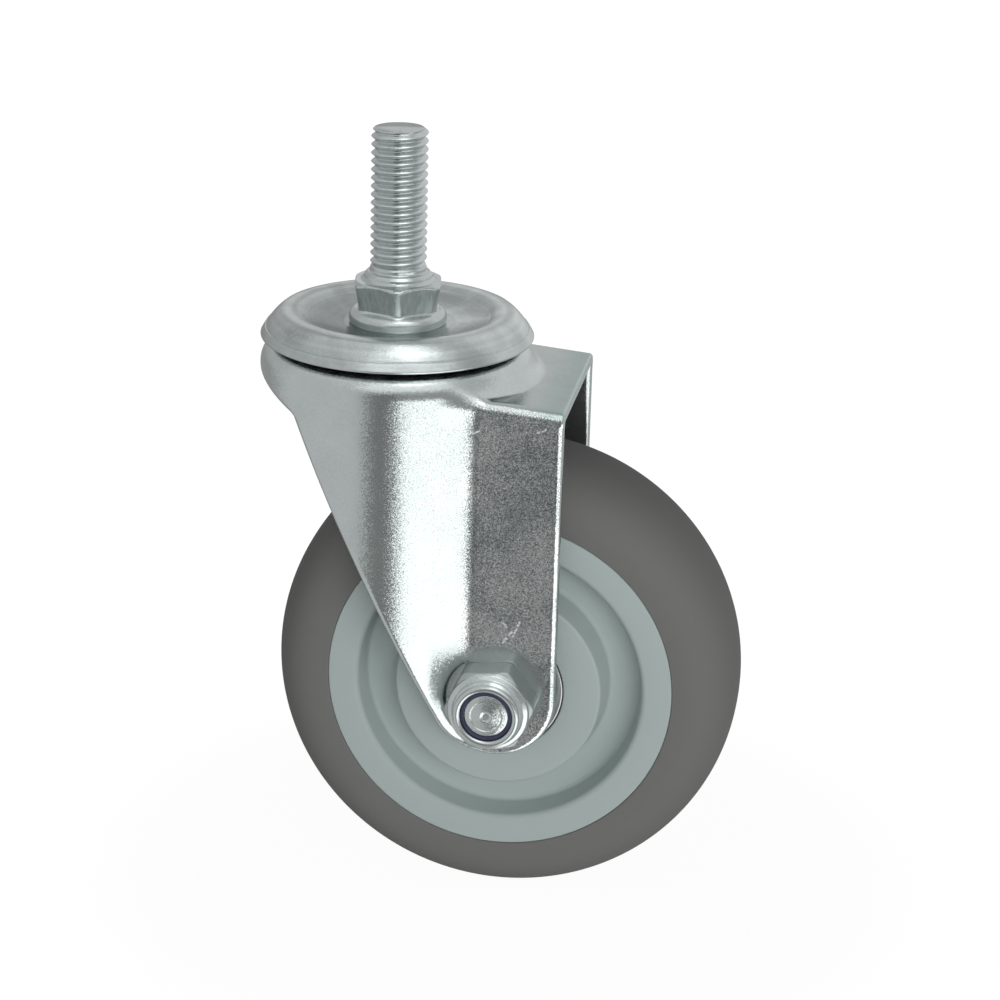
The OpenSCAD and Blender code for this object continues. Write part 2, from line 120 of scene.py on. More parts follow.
def an_angle(name, degrees, description):
    """A setting that is an angle."""
    return bpy.props.FloatProperty(name=name, description=description, default=math.radians(degrees),
                                   unit="ROTATION")


def a_colour(name, default, description):
    """A setting that is a colour."""
    return bpy.props.FloatVectorProperty(name=name, description=description, default=default, subtype="COLOR")


class CastorSizes(bpy.types.PropertyGroup):
    """Sizes of the forms that the fixed frame leaves plain."""

    thread_pitch: a_length("Thread pitch", 1.75 * MM, "Rise of one turn of the stem's thread")
    thread_depth: a_length("Thread depth", 0.86 * MM, "From the crest to the root")
    crest_radius: a_length("Crest radius", 5.9 * MM, "Radius over the thread's crests")
    hexagon_width: a_length("Hexagon width", 18 * MM, "Across the flats at the top of the stem's hexagon")
    hexagon_draft: an_angle("Hexagon draft", 9.5, "Lean of its flats, narrower downwards")
    hexagon_turn: an_angle("Hexagon turn", 10, "Turn about the stem")
    hexagon_top: a_length("Hexagon top", 3.6 * MM, "Height of the hexagon's top below the thread's foot")
    hexagon_height: a_length("Hexagon height", 6.2 * MM, "From the flange to the hexagon's top")
    flange_radius: a_length("Flange radius", 10.3 * MM, "Radius of the round flange under the hexagon")
    sheet: a_length("Fork sheet", 2.5 * MM, "Thickness of the fork's sheet")
    plate_sheet: a_length("Plate sheet", 2.0 * MM, "Thickness of the top plate")
    shoulder: a_length("Shoulder", 5.4 * MM, "Outside radius of the head's shoulder")
    bridge_drop: a_length("Bridge drop", 6.5 * MM, "From the head's top down to the bridge's rear edge")
    bridge_tilt: an_angle("Bridge tilt", 5, "Rise of the bridge towards the head")
    bend: a_length("Bend", 2.2 * MM, "Outside radius of the bend between the bridge and a leg")
    head_rise: a_length("Head rise", 0.8 * MM, "How far the head's pressed top stands above its plain level")
    hollow: a_length("Hollow", 2.6 * MM, "Depth of the hollow where a leg's round part meets its flat part")
    wall_foot: a_length("Wall foot", 3.0 * MM, "Radius at the foot of the head's wall on the bridge")
    nut_turn: an_angle("Nut turn", 6, "How far the nut's flats are turned")
    kink_front: a_length("Kink", 17.3 * MM, "How far in front of the stem a leg's edge starts")
    kink_drop: a_length("Kink drop", 10.85 * MM, "From the head's top down to a leg's front edge")
    lip_drop: a_length("Lip drop", 6.05 * MM, "From the head's top down to the lip's lower edge in front")
    edge: a_length("Sheet edge", 1.2 * MM, "Rounding of the fork's sheared edges")
    wrench: a_length("Wrench size", 17 * MM, "Across the flats of the locknut and the bolt's head")
    bolt_radius: a_length("Bolt radius", 4.95 * MM, "Radius of the axle bolt")
    rim_radius: a_length("Rim radius", 36.85 * MM, "Radius of the hub where the tyre starts")
    rim_half_width: a_length("Rim half width", 15.8 * MM, "From the wheel's middle to a rim face")
    rim_opening: a_length("Rim opening", 30.5 * MM, "Radius of the opening inside a rim face")
    boss_radius: a_length("Boss radius", 21.9 * MM, "Radius of the hub's boss at its face")
    web_half: a_length("Web half thickness", 9.3 * MM, "From the wheel's middle to the web's face")
    hub_draft: an_angle("Hub draft", 9, "Lean of the walls inside the hub")


class CastorColours(bpy.types.PropertyGroup):
    """Colours of the finishes."""

    zinc: a_colour("Zinc", (0.665, 0.72, 0.712), "Reflection of the plated steel")
    zinc_shade: a_colour("Zinc shade", (0.57, 0.62, 0.615), "Dark grains in the plating")
    bearing: a_colour("Bearing steel", (0.56, 0.57, 0.58), "Reflection of the ground steel")
    hub: a_colour("Hub", (0.25, 0.306, 0.322), "Grey-green plastic")
    hub_shade: a_colour("Hub shade", (0.227, 0.278, 0.291), "Darker streaks in the plastic")
    rubber: a_colour("Rubber", (0.072, 0.072, 0.070), "Grey tyre rubber")
    rubber_shade: a_colour("Rubber shade", (0.056, 0.056, 0.055), "Darker bands in the rubber")
    nylon: a_colour("Nylon", (0.048, 0.052, 0.1), "Dark blue locking ring")
    # Grease colour, kept dark as painted shade for the gap between the plate and the fork's head
    grease: a_colour("Grease", (0.035, 0.031, 0.028), "Dark grease on the balls")
    seal: a_colour("Seal", (0.02, 0.02, 0.021), "Black bearing seal")


class CastorView(bpy.types.PropertyGroup):
    """Where the photographer stood, about a point on the stem's axis."""

    aim_drop: a_length("Aim drop", 8.5 * MM, "Height of the aimed point below the thread's foot")
    azimuth: an_angle("Azimuth", 8.78, "Turn of the view to the right of the nut's side")
    elevation: an_angle("Elevation", 20.04, "Height of the view above the horizon")
    roll: an_angle("Roll", 1.52, "Tilt of the picture")
    distance: a_length("Distance", 569.36 * MM, "From the aimed point to the camera, along the view")
    right: a_length("Right", 21.3 * MM, "Camera's offset to the right")
    up: a_length("Up", -41.6 * MM, "Camera's offset upwards")
    lens: bpy.props.FloatProperty(
        name="Lens", default=98.135, description="Focal length in millimetres on a 36 mm sensor")


def sizes():
    """The scene's castor sizes."""
    return bpy.context.scene.castor_sizes


def colours():
    """The scene's castor colours."""
    return bpy.context.scene.castor_colours


# Distances to solids

def smooth_join(a, b, radius):
    """Distance to two solids joined, with a hollow of about this radius between them."""
    deep = np.maximum(radius, np.minimum(a, b))
    return deep - np.hypot(np.maximum(radius - a, 0), np.maximum(radius - b, 0))


def smooth_overlap(a, b, radius):
    """Distance to what two solids share, with its edge rounded."""
    deep = np.minimum(-radius, np.maximum(a, b))
    return deep + np.hypot(np.maximum(radius + a, 0), np.maximum(radius + b, 0))


def ramp(value, low, high):
    """Smooth step from 0 at low to 1 at high."""
    share = np.clip((value - low) / (high - low), 0, 1)
    return share * share * (3 - 2 * share)


def torus(radial, z, ring, tube):
    """Distance to a ring of round section; ring is its radius and height."""
    return np.hypot(radial - ring[0], z - ring[1]) - tube


def outline_distance(u, v, points):
    """Distance to the flat shape inside a closed outline, negative inside."""
    best = np.full(np.broadcast(u, v).shape, np.inf, dtype=np.float32)
    inside = np.zeros(best.shape, dtype=bool)
    for (au, av), (bu, bv) in zip(points, points[1:] + points[:1]):
        along_u, along_v = bu - au, bv - av
        length = along_u ** 2 + along_v ** 2
        share = np.clip(((u - au) * along_u + (v - av) * along_v) / length, 0, 1)
        best = np.minimum(best, np.hypot(u - au - share * along_u, v - av - share * along_v))
        if av != bv:
            inside ^= ((v < av) != (v < bv)) & (u < au + along_u * (v - av) / along_v)
    return np.where(inside, -best, best)


def hexagon_distance(u, v, width):
    """Distance to a hexagonal bar with flats facing plus and minus v."""
    u, v = np.abs(u), np.abs(v)
    slant = u * COS_30 + v * 0.5
    return np.maximum(v, slant) - width / 2


def corner_radius(width):
    """Radius over the corners of a hexagon of this width."""
    return width / 2 / COS_30


def bevel(above, outside):
    """Distance to a cone of 30 degrees, from the height above and the radius outside a circle on it."""
    return above * COS_30 + outside * 0.5


def from_axle(x, z):
    """Distance from the axle's line."""
    return np.hypot(x - AXLE.x, z - AXLE.z)


# Meshes

def skin(name, distance, low, high, step):
    """A closed mesh around the space where distance() is negative, with its true normals."""
    starts = [a - 2.3 * step for a in low]
    axes = [np.arange(a, b + 3 * step, step, dtype=np.float32) for a, b in zip(starts, high)]
    inside = distance(*np.meshgrid(*axes, indexing="ij", sparse=True)) < 0
    corners = np.zeros([n - 1 for n in inside.shape], dtype=np.int8)
    for i in (0, 1):
        for j in (0, 1):
            for k in (0, 1):
                corners += inside[i:corners.shape[0] + i, j:corners.shape[1] + j, k:corners.shape[2] + k]
    cells = np.argwhere((corners > 0) & (corners < 8))
    number = np.zeros(corners.shape, dtype=np.int32)
    number[tuple(cells.T)] = np.arange(len(cells))
    middles = np.array(starts) + (cells + 0.5) * step
    points = middles.copy()
    for _ in range(4):
        value, slope = value_and_slope(distance, points, step * 0.05)
        points -= slope * (value / np.maximum((slope ** 2).sum(axis=1), 0.1))[:, None]
        points = np.clip(points, middles - 0.7 * step, middles + 0.7 * step)
    _, normals = value_and_slope(distance, points, step * 0.1)
    normals /= np.maximum(np.linalg.norm(normals, axis=1), 1e-6)[:, None]
    quads = []
    for axis in range(3):
        second, third = np.eye(3, dtype=int)[(axis + 1) % 3], np.eye(3, dtype=int)[(axis + 2) % 3]
        change = np.diff(inside.astype(np.int8), axis=axis)
        edges = np.argwhere(change)
        ring = [edges - second - third, edges - third, edges, edges - second]
        quad = np.stack([number[tuple(cell.T)] for cell in ring], axis=1)
        entering = change[tuple(edges.T)] > 0
        quad[entering] = quad[entering][:, ::-1]
        quads.append(quad)
    mesh = bpy.data.meshes.new(name)
    mesh.from_pydata(points.tolist(), [], np.concatenate(quads).tolist())
    mesh.shade_smooth()
    mesh.normals_split_custom_set_from_vertices(normals.tolist())
    return in_scene(name, mesh)


def value_and_slope(distance, points, reach):
    """distance() at these points, and how it grows along X, Y and Z."""
    x, y, z = points.T
    slope = np.stack([
        distance(x + reach, y, z) - distance(x - reach, y, z),
        distance(x, y + reach, z) - distance(x, y - reach, z),
        distance(x, y, z + reach) - distance(x, y, z - reach)], axis=1) / (2 * reach)
    return distance(x, y, z), slope


def in_scene(name, mesh):
    """A new object in the scene."""
    piece = bpy.data.objects.new(name, mesh)
    bpy.context.scene.collection.objects.link(piece)
    return piece


def rounded(corners, steps=6):
    """Points of a closed outline through (u, v, rounding) corners, with arcs at the corners."""
    points = []
    for i, (u, v, radius) in enumerate(corners):
        here = Vector((u, v))
        if radius <= 0:
            points.append(here)
            continue
        before = (Vector(corners[i - 1][:2]) - here).normalized()
        after = (Vector(corners[(i + 1) % len(corners)][:2]) - here).normalized()
        half = before.angle(after) / 2
        centre = here + (before + after).normalized() * radius / math.sin(half)
        first = here + before * radius / math.tan(half) - centre
        last = here + after * radius / math.tan(half) - centre
        start = math.atan2(first.y, first.x)
        sweep = math.remainder(math.atan2(last.y, last.x) - start, 2 * math.pi)
        turns = [start + sweep * s / steps for s in range(steps + 1)]
        points += [centre + radius * Vector((math.cos(turn), math.sin(turn))) for turn in turns]
    return [(p.x, p.y) for p in points]


def lathe(name, outline, middle=(0, 0, 0), along_y=False, segments=256):
    """Turns a closed (radius, height) outline about Z, or about Y with heights towards minus Y."""
    segments = int(segments / FINENESS)
    build = bmesh.new()
    rings = []
    for s in range(segments):
        angle = 2 * math.pi * s / segments
        c, t = math.cos(angle), math.sin(angle)
        rings.append([build.verts.new((r * c, -h, r * t) if along_y else (r * c, r * t, h))
                      for r, h in outline])
    for s in range(segments):
        here, there = rings[s], rings[(s + 1) % segments]
        for i in range(len(outline)):
            j = (i + 1) % len(outline)
            build.faces.new((here[i], there[i], there[j], here[j]))
    bmesh.ops.remove_doubles(build, verts=build.verts, dist=1e-7)
    bmesh.ops.dissolve_degenerate(build, edges=build.edges, dist=1e-8)
    bmesh.ops.recalc_face_normals(build, faces=build.faces)
    mesh = bpy.data.meshes.new(name)
    bmesh.ops.translate(build, verts=build.verts, vec=middle)
    build.to_mesh(mesh)
    build.free()
    mesh.shade_smooth()
    mesh.set_sharp_from_angle(angle=math.radians(40))
    return in_scene(name, mesh)


# Node trees

class Wiring:
    """Adds nodes to one tree and links them. Inputs are values or the sockets that feed them."""

    def __init__(self, tree):
        self.tree = tree

    def put(self, node, inputs):
        """Gives a node its inputs."""
        for key, value in inputs.items():
            if isinstance(value, bpy.types.NodeSocket):
                self.tree.links.new(value, node.inputs[key])
            else:
                node.inputs[key].default_value = value
        return node

    def add(self, kind, inputs=None, **settings):
        """One node."""
        node = self.tree.nodes.new(kind)
        for key, value in settings.items():
            setattr(node, key, value)
        return self.put(node, inputs or {})

    def math(self, operation, *values, clamp=False):
        """The result of one Math node."""
        return self.add("ShaderNodeMath", dict(enumerate(values)), operation=operation,
                        use_clamp=clamp).outputs[0]

    def product(self, first, second):
        """Two values multiplied."""
        return self.math("MULTIPLY", first, second)

    def vector(self, operation, *values, **scale):
        """The result of one Vector Math node, a vector or a length."""
        node = self.add("ShaderNodeVectorMath", {**dict(enumerate(values)), **scale}, operation=operation)
        return node.outputs["Value" if operation in ("LENGTH", "DISTANCE", "DOT_PRODUCT") else "Vector"]

    def apart(self, vector):
        """The X, Y and Z of a vector."""
        return self.add("ShaderNodeSeparateXYZ", {"Vector": vector}).outputs

    def step(self, value, low, high, first=0.0, last=1.0):
        """Smooth step of a value between two limits."""
        return self.add("ShaderNodeMapRange", {"Value": value, "From Min": low, "From Max": high,
                                               "To Min": first, "To Max": last},
                        interpolation_type="SMOOTHSTEP").outputs[0]

    def noise(self, vector, scale, detail=2.0, roughness=0.5, distortion=0.0):
        """The value of one Noise Texture."""
        return self.add("ShaderNodeTexNoise", {"Vector": vector, "Scale": scale, "Detail": detail,
                                               "Roughness": roughness,
                                               "Distortion": distortion}).outputs["Fac"]

    def rings(self, radius, scale, detail):
        """A noise that changes with the radius alone."""
        return self.noise(self.add("ShaderNodeCombineXYZ", {"X": radius}).outputs[0], scale, detail)

    def between(self, share, first, last):
        """The value between two values."""
        return self.add("ShaderNodeMix", {0: share, 2: first, 3: last}, data_type="FLOAT").outputs[0]

    def mix(self, share, first, second, blend="MIX"):
        """The colour between two colours."""
        first, second = [end if isinstance(end, bpy.types.NodeSocket) else (*end, 1)
                         for end in (first, second)]
        return self.add("ShaderNodeMix", {0: share, 6: first, 7: second}, data_type="RGBA",
                        blend_type=blend).outputs[2]


def once(make):
    """Makes a material or a node group at the first call, under the function's name, and finds it later."""
    @functools.wraps(make)
    def get():
        for kept in (bpy.data.materials, bpy.data.node_groups):
            if make.__name__ in kept:
                return kept[make.__name__]
        return make(make.__name__)
    return get


def group(name, sockets_in, sockets_out, kind="ShaderNodeTree"):
    """An empty node group: its wiring, its input sockets and its output node."""
    tree = bpy.data.node_groups.new(name, kind)
    for socket, (kind, value) in sockets_in.items():
        made = tree.interface.new_socket(socket, in_out="INPUT", socket_type=kind)
        if value is not None:
            made.default_value = value
    for socket, kind in sockets_out.items():
        tree.interface.new_socket(socket, in_out="OUTPUT", socket_type=kind)
    wiring = Wiring(tree)
    return wiring, wiring.add("NodeGroupInput").outputs, wiring.add("NodeGroupOutput")


@once
def plated_grain(name):
    """Node group: the fine crystals of zinc plating, as a tint, a roughness and a normal."""
    wiring, given, made = group(
        name,
        {"Position": ("NodeSocketVector", None), "Grain": ("NodeSocketFloat", 4200.0),
         "Relief": ("NodeSocketFloat", 0.4), "Roughness": ("NodeSocketFloat", 0.3)},
        {"Tint": "NodeSocketFloat", "Roughness": "NodeSocketFloat", "Normal": "NodeSocketVector"})
    fine = wiring.add("ShaderNodeTexNoise", {"Vector": given["Position"], "Scale": given["Grain"],
                                             "Detail": 1.0}).outputs
    cloud = wiring.noise(given["Position"], 130.0, detail=3.0, roughness=0.6)
    tint = wiring.math("ADD", wiring.product(fine["Fac"], 0.6), wiring.product(cloud, 0.4))
    spread = wiring.math("MULTIPLY_ADD", wiring.math("SUBTRACT", cloud, 0.5), 0.12, given["Roughness"])
    centred = wiring.vector("SUBTRACT", fine["Color"], (0.5, 0.5, 0.5))
    lean = wiring.vector("SCALE", centred, Scale=given["Relief"])
    leant = wiring.vector("ADD", wiring.add("ShaderNodeNewGeometry").outputs["Normal"], lean)
    wiring.put(made, {"Tint": wiring.step(tint, 0.3, 0.7), "Roughness": spread,
                      "Normal": wiring.vector("NORMALIZE", leant)})
    return wiring.tree


@once
def soft_mottle(name):
    """Node group: faint clouds and a fine tooth for moulded plastic and rubber."""
    wiring, given, made = group(
        name,
        {"Position": ("NodeSocketVector", None), "Cloud": ("NodeSocketFloat", 60.0),
         "Tooth": ("NodeSocketFloat", 2500.0), "Relief": ("NodeSocketFloat", 0.00001)},
        {"Cloud": "NodeSocketFloat", "Normal": "NodeSocketVector"})
    cloud = wiring.noise(given["Position"], given["Cloud"], detail=4.0, roughness=0.6)
    tooth = wiring.noise(given["Position"], given["Tooth"], detail=2.0)
    bump = wiring.add("ShaderNodeBump", {"Height": tooth, "Strength": 1.0, "Distance": given["Relief"]})
    wiring.put(made, {"Cloud": wiring.step(cloud, 0.3, 0.7), "Normal": bump.outputs["Normal"]})
    return wiring.tree


class Finish(Wiring):
    """A new material, with its shader, its Object coordinates and the tone that its colour starts from."""

    def __init__(self, name):
        self.made = bpy.data.materials.new(name)
        self.made.use_nodes = True
        super().__init__(self.made.node_tree)
        self.shader = self.tree.nodes["Principled BSDF"]
        self.place = self.add("ShaderNodeTexCoord").outputs["Object"]
        self.tone = None

    def shade(self, level):
        """Makes the shader's colour the tone times a level."""
        self.put(self.shader, {"Base Color": self.vector("SCALE", self.tone, Scale=level)})
        return self.made

    def from_axis(self, across, middle=(0, 0, 0)):
        """Distance from an axis; across is 1 along the axes to measure and 0 along it."""
        away = self.vector("SUBTRACT", self.place, middle)
        return self.vector("LENGTH", self.vector("MULTIPLY", away, across))

    def scuffs(self, lines):
        """Mask of scratches, each between two points and with a width, broken up by a fine noise."""
        broken = self.step(self.noise(self.place, 1800.0, detail=2.0), 0.38, 0.55)
        marks = 0.0
        for first, last, width in lines:
            first, last = Vector(first) * MM, Vector(last) * MM
            along = last - first
            from_first = self.vector("SUBTRACT", self.place, first)
            share = self.vector("DOT_PRODUCT", from_first, along / along.length_squared)
            share = self.math("ADD", share, 0.0, clamp=True)
            away = self.vector("DISTANCE", from_first, self.vector("SCALE", along, Scale=share))
            near = self.step(away, width * MM * 0.4, width * MM, 1.0, 0.0)
            marks = self.math("MAXIMUM", self.product(near, broken), marks)
        return marks


class Plating(Finish):
    """A metal with a fine grain, as zinc plating is."""

    def __init__(self, name, relief, roughness, grain=4200.0, ends=None):
        super().__init__(name)
        dark, bright = ends or (colours().zinc_shade, colours().zinc)
        self.grain = self.add("ShaderNodeGroup", {"Position": self.place, "Grain": grain, "Relief": relief,
                                                  "Roughness": roughness}, node_tree=plated_grain())
        self.tone = self.mix(self.grain.outputs["Tint"], dark, bright)
        self.put(self.shader, {"Roughness": self.grain.outputs["Roughness"], "Metallic": 1.0,
                               "Normal": self.grain.outputs["Normal"], "Base Color": self.tone})


@once
def plated_steel(name):
    """Bright zinc plating of the pressed and turned parts."""
    return Plating(name, 0.22, 0.24).made


@once
def cut_steel(name):
    """The bolt's end, rough from cutting."""
    return Plating(name, 0.6, 0.26).made


@once
def nut_steel(name):
    """The locknut's plating: its turned front stays bright; its flats are rougher and painted darker as
    painted shade.
    """
    zinc = Plating(name, 0.14, 0.24)
    flats = zinc.step(zinc.apart(zinc.place)["Y"], -29.3 * MM, -28.9 * MM)
    zinc.put(zinc.shader, {"Roughness": zinc.math("MULTIPLY_ADD", flats, 0.2, 0.24)})
    # Painted shade: the flats' colour is darkened by a quarter
    return zinc.shade(zinc.math("MULTIPLY_ADD", flats, -0.26, 1.0))


@once
def fork_steel(name):
    """The fork's plating: flecks and clouds where the sheet stayed flat, a darker greenish tint on the
    bridge's rear as painted reflection, and scratches.
    """
    zinc = Plating(name, 0.30, 0.21)
    place, step = zinc.place, zinc.step
    apart = zinc.apart(place)
    above_axle = (AXLE.x + 1 * MM, 0, AXLE.z + 2.5 * MM)
    beyond = step(zinc.from_axis((1, 0, 1), above_axle), 8.8 * MM, 10.8 * MM)
    zinc.put(zinc.grain, {"Relief": zinc.math("MULTIPLY_ADD", beyond, 0.2, 0.1)})
    side = step(zinc.math("ABSOLUTE", apart["Y"]), 22.2 * MM, 22.7 * MM)
    flat = zinc.product(zinc.product(step(apart["X"], 17 * MM, 20 * MM), side), beyond)
    fleck = step(zinc.noise(place, 5200.0, detail=1.0), 0.32, 0.72, 0.42, 1.75)
    cloud = step(zinc.noise(place, 75.0, detail=2.0, distortion=0.6), 0.35, 0.7, 0.85, 1.4)
    level = zinc.between(flat, 1.0, zinc.product(fleck, cloud))
    marks = zinc.scuffs(SCRATCHES)
    # Painted reflection: the top of the fork's rear is tinted darker and greenish
    rear = zinc.product(step(apart["X"], 29 * MM, 38 * MM), step(apart["Z"], -25 * MM, -24 * MM))
    painted_reflection = zinc.mix(rear, (1, 1, 1), (0.75, 0.85, 0.825))
    zinc.tone = zinc.mix(1.0, zinc.tone, painted_reflection, blend="MULTIPLY")
    zinc.put(zinc.shader, {"Roughness": zinc.math("MULTIPLY_ADD", marks, 0.4, 0.21)})
    return zinc.shade(zinc.math("MULTIPLY_ADD", marks, 0.5, level))


@once
def plate_steel(name):
    """The top plate's plating: painted shade in the dish and towards the front, with faint rings and a few
    worn patches.
    """
    zinc = Plating(name, 0.2, 0.24)
    step = zinc.step
    radial = zinc.from_axis((1, 1, 0))
    across = zinc.apart(zinc.place)["X"]
    # Painted shade: darker towards the front, and darker in the dish than on the ridge
    dish_shade = step(across, -21 * MM, 16 * MM, 0.56, 0.92)
    ridge_shade = step(across, -21 * MM, 4 * MM, 0.84, 0.96)
    level = zinc.between(step(radial, 17 * MM, 22 * MM), dish_shade, ridge_shade)
    level = zinc.product(level, step(zinc.rings(radial, 900.0, 3.0), 0.3, 0.7, 0.92, 1.06))
    smears = zinc.noise(zinc.place, 120.0, detail=3.0, distortion=1.0)
    level = zinc.product(level, step(smears, 0.3, 0.7, 0.90, 1.08))
    return zinc.shade(zinc.math("MULTIPLY_ADD", zinc.scuffs(WORN_PATCHES), -0.1, level))


@once
def thread_steel(name):
    """The thread's plating, with painted shade in its grooves."""
    zinc = Plating(name, 0.25, 0.24)
    # Painted shade: the thread's roots are darker than its crests
    return zinc.shade(zinc.step(zinc.from_axis((1, 1, 0)), 5.04 * MM, 5.2 * MM, 0.85, 1.0))


@once
def forged_steel(name):
    """The stem's forging, with streaks down the hexagon's flats."""
    zinc = Plating(name, 0.25, 0.24)
    streaks = zinc.noise(zinc.vector("MULTIPLY", zinc.place, (1, 1, 0.15)), 1400.0, detail=2.0)
    height = zinc.apart(zinc.place)["Z"]
    flats = zinc.product(zinc.step(height, -9.6 * MM, -9.2 * MM),
                         zinc.step(height, -4.0 * MM, -3.4 * MM, 1.0, 0.0))
    return zinc.shade(zinc.math("MULTIPLY_ADD", flats, zinc.step(streaks, 0.3, 0.7, -0.12, 0.1), 0.95))


@once
def ground_steel(name):
    """Bearing steel with the fine grain of grinding."""
    steel = colours().bearing
    return Plating(name, 0.12, 0.28, 6000.0, ([c * 0.85 for c in steel], steel)).made


@once
def greased_steel(name):
    """Balls and cages under a film of dark grease; the dark colour is also painted shade for the gap under
    the top plate.
    """
    film = Finish(name)
    grease = film.noise(film.place, 500.0, detail=3.0)
    # Painted shade: the balls are dark so that the gap under the plate reads dark
    tone = film.mix(film.step(grease, 0.35, 0.65), colours().grease, [c * 2.5 for c in colours().grease])
    film.put(film.shader, {"Base Color": tone, "Roughness": film.step(grease, 0.3, 0.7, 0.5, 0.3)})
    return film.made


def moulded(name, colour, shade, roughness, cloud, tooth, relief):
    """A moulded plastic or rubber with faint clouds and a fine tooth."""
    finish = Finish(name)
    mottle = finish.add("ShaderNodeGroup", {"Position": finish.place, "Cloud": cloud, "Tooth": tooth,
                                            "Relief": relief}, node_tree=soft_mottle()).outputs
    finish.tone = finish.mix(mottle["Cloud"], shade, colour)
    finish.put(finish.shader, {"Base Color": finish.tone, "Normal": mottle["Normal"], "Roughness": roughness})
    return finish


@once
def hub_plastic(name):
    """Satin grey-green plastic of the hub."""
    return moulded(name, colours().hub, colours().hub_shade, 0.42, 90.0, 3000.0, 0.004 * MM).made


@once
def tyre_rubber(name):
    """Matt grey rubber of the tyre, with faint lighter and darker bands round the axle painted as sheen."""
    rubber = moulded(name, colours().rubber, colours().rubber_shade, 0.62, 30.0, 2600.0, 0.01 * MM)
    # Painted sheen: lighter and darker rings round the axle
    bands = rubber.rings(rubber.from_axis((1, 0, 1), AXLE), 150.0, 2.0)
    return rubber.shade(rubber.step(bands, 0.3, 0.7, 0.85, 1.2))


@once
def blue_nylon(name):
    """Dark blue nylon of the locking ring."""
    shade = [c * 0.7 for c in colours().nylon]
    return moulded(name, colours().nylon, shade, 0.3, 400.0, 5000.0, 0.004 * MM).made


@once
def black_seal(name):
    """Black rubber of the bearing seals."""
    shade = [c * 0.7 for c in colours().seal]
    return moulded(name, colours().seal, shade, 0.5, 400.0, 4000.0, 0.006 * MM).made


# Two points in millimetres and a width for each mark; the scratches lie on the leg's flat side
SCRATCHES = [((x, -22.8, z), (end_x, -22.8, end_z), width) for x, z, end_x, end_z, width in (
    (18.4, -27.4, 20.4, -28.6, 0.3), (20.4, -28.6, 21.7, -28.0, 0.25), (33.6, -27.5, 35.2, -26.7, 0.28),
    (27.6, -73.9, 29.3, -71.5, 0.35), (29.6, -72.6, 31.0, -69.0, 0.3), (27.4, -69.4, 28.3, -70.4, 0.3))]
WORN_PATCHES = (((-19, -17, -11.6), (-13, -21, -11.9), 2.0), ((12, -21, -12), (16, -19, -12), 1.1),
                ((18, 3, -11), (19, 7, -11), 1.2))
FINISH_OF_SLOT = {"zinc_steel": plated_steel, "bearing_steel": ground_steel, "nylon": blue_nylon,
                  "hub_plastic": hub_plastic, "tyre_rubber": tyre_rubber, "seal_rubber": black_seal}


def fit_piece(piece, body, slot, *nodes, finish=None):
    """Gives a piece its finish and its body, and lets it stand for fixed nodes."""
    piece.data.materials.clear()
    piece.data.materials.append((finish or FINISH_OF_SLOT[slot])())
    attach(piece, body)
    if nodes:
        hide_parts(*nodes)


# Shapes

def fork_distance(x, y, z):
    """Distance to the fork's sheet: a round head, a bridge behind it and two legs, trimmed to an outline."""
    s = sizes()
    radial = np.hypot(x, y)
    bridge = (z - HEAD_TOP + s.bridge_drop) * math.cos(s.bridge_tilt)
    bridge = bridge - (FORK_BACK - x) * math.sin(s.bridge_tilt)
    drum = smooth_overlap(radial - HEAD_RADIUS, z - HEAD_TOP - s.head_rise, s.shoulder)
    legs = smooth_overlap(np.abs(y) - LEG_INSIDE - s.sheet, bridge, s.bend)
    legs = np.maximum(legs, -x)
    foot = s.hollow + (s.wall_foot - s.hollow) * ramp(bridge, -6 * MM, -1 * MM)
    outer = smooth_join(drum, legs, foot)
    # The flat seats of the nut and the bolt's head
    hole = from_axle(x, z)
    seat = smooth_overlap(hole - corner_radius(s.wrench) - 0.4 * MM,
                          LEG_INSIDE + s.sheet - np.abs(y), 0.5 * MM)
    outer = smooth_overlap(outer, -seat, 0.01 * MM + 0.7 * MM * ramp(x, 20 * MM, 17.5 * MM))
    sheet = np.abs(outer + s.sheet / 2) - s.sheet / 2
    # A ring pressed up over the lower balls, and the grooves that the balls run in
    lower, lower_groove = (LOWER_RACE_R, LOWER_BALL_Z - GROOVE_SHIFT), LOWER_BALL_R + GROOVE_PLAY
    upper, upper_groove = (UPPER_RACE_R, UPPER_BALL_Z + GROOVE_SHIFT), UPPER_BALL_R + GROOVE_PLAY
    ring = smooth_overlap(torus(radial, z, lower, lower_groove + s.sheet), HEAD_TOP - 0.5 * MM - z, 0.3 * MM)
    sheet = smooth_join(sheet, ring, 0.8 * MM)
    sheet = smooth_overlap(sheet, -torus(radial, z, lower, lower_groove), 0.3 * MM)
    sheet = smooth_overlap(sheet, -torus(radial, z, upper, upper_groove), 0.3 * MM)
    # The holes for the kingpin and the bolt
    sheet = smooth_overlap(sheet, 8.6 * MM - radial, 0.4 * MM)
    sheet = smooth_overlap(sheet, s.bolt_radius + 0.25 * MM - hole, 0.3 * MM)
    edge = s.edge - (s.edge - 0.6 * MM) * ramp(bridge, -4 * MM, -2 * MM)
    return smooth_overlap(sheet, fork_outline(x, z), edge)


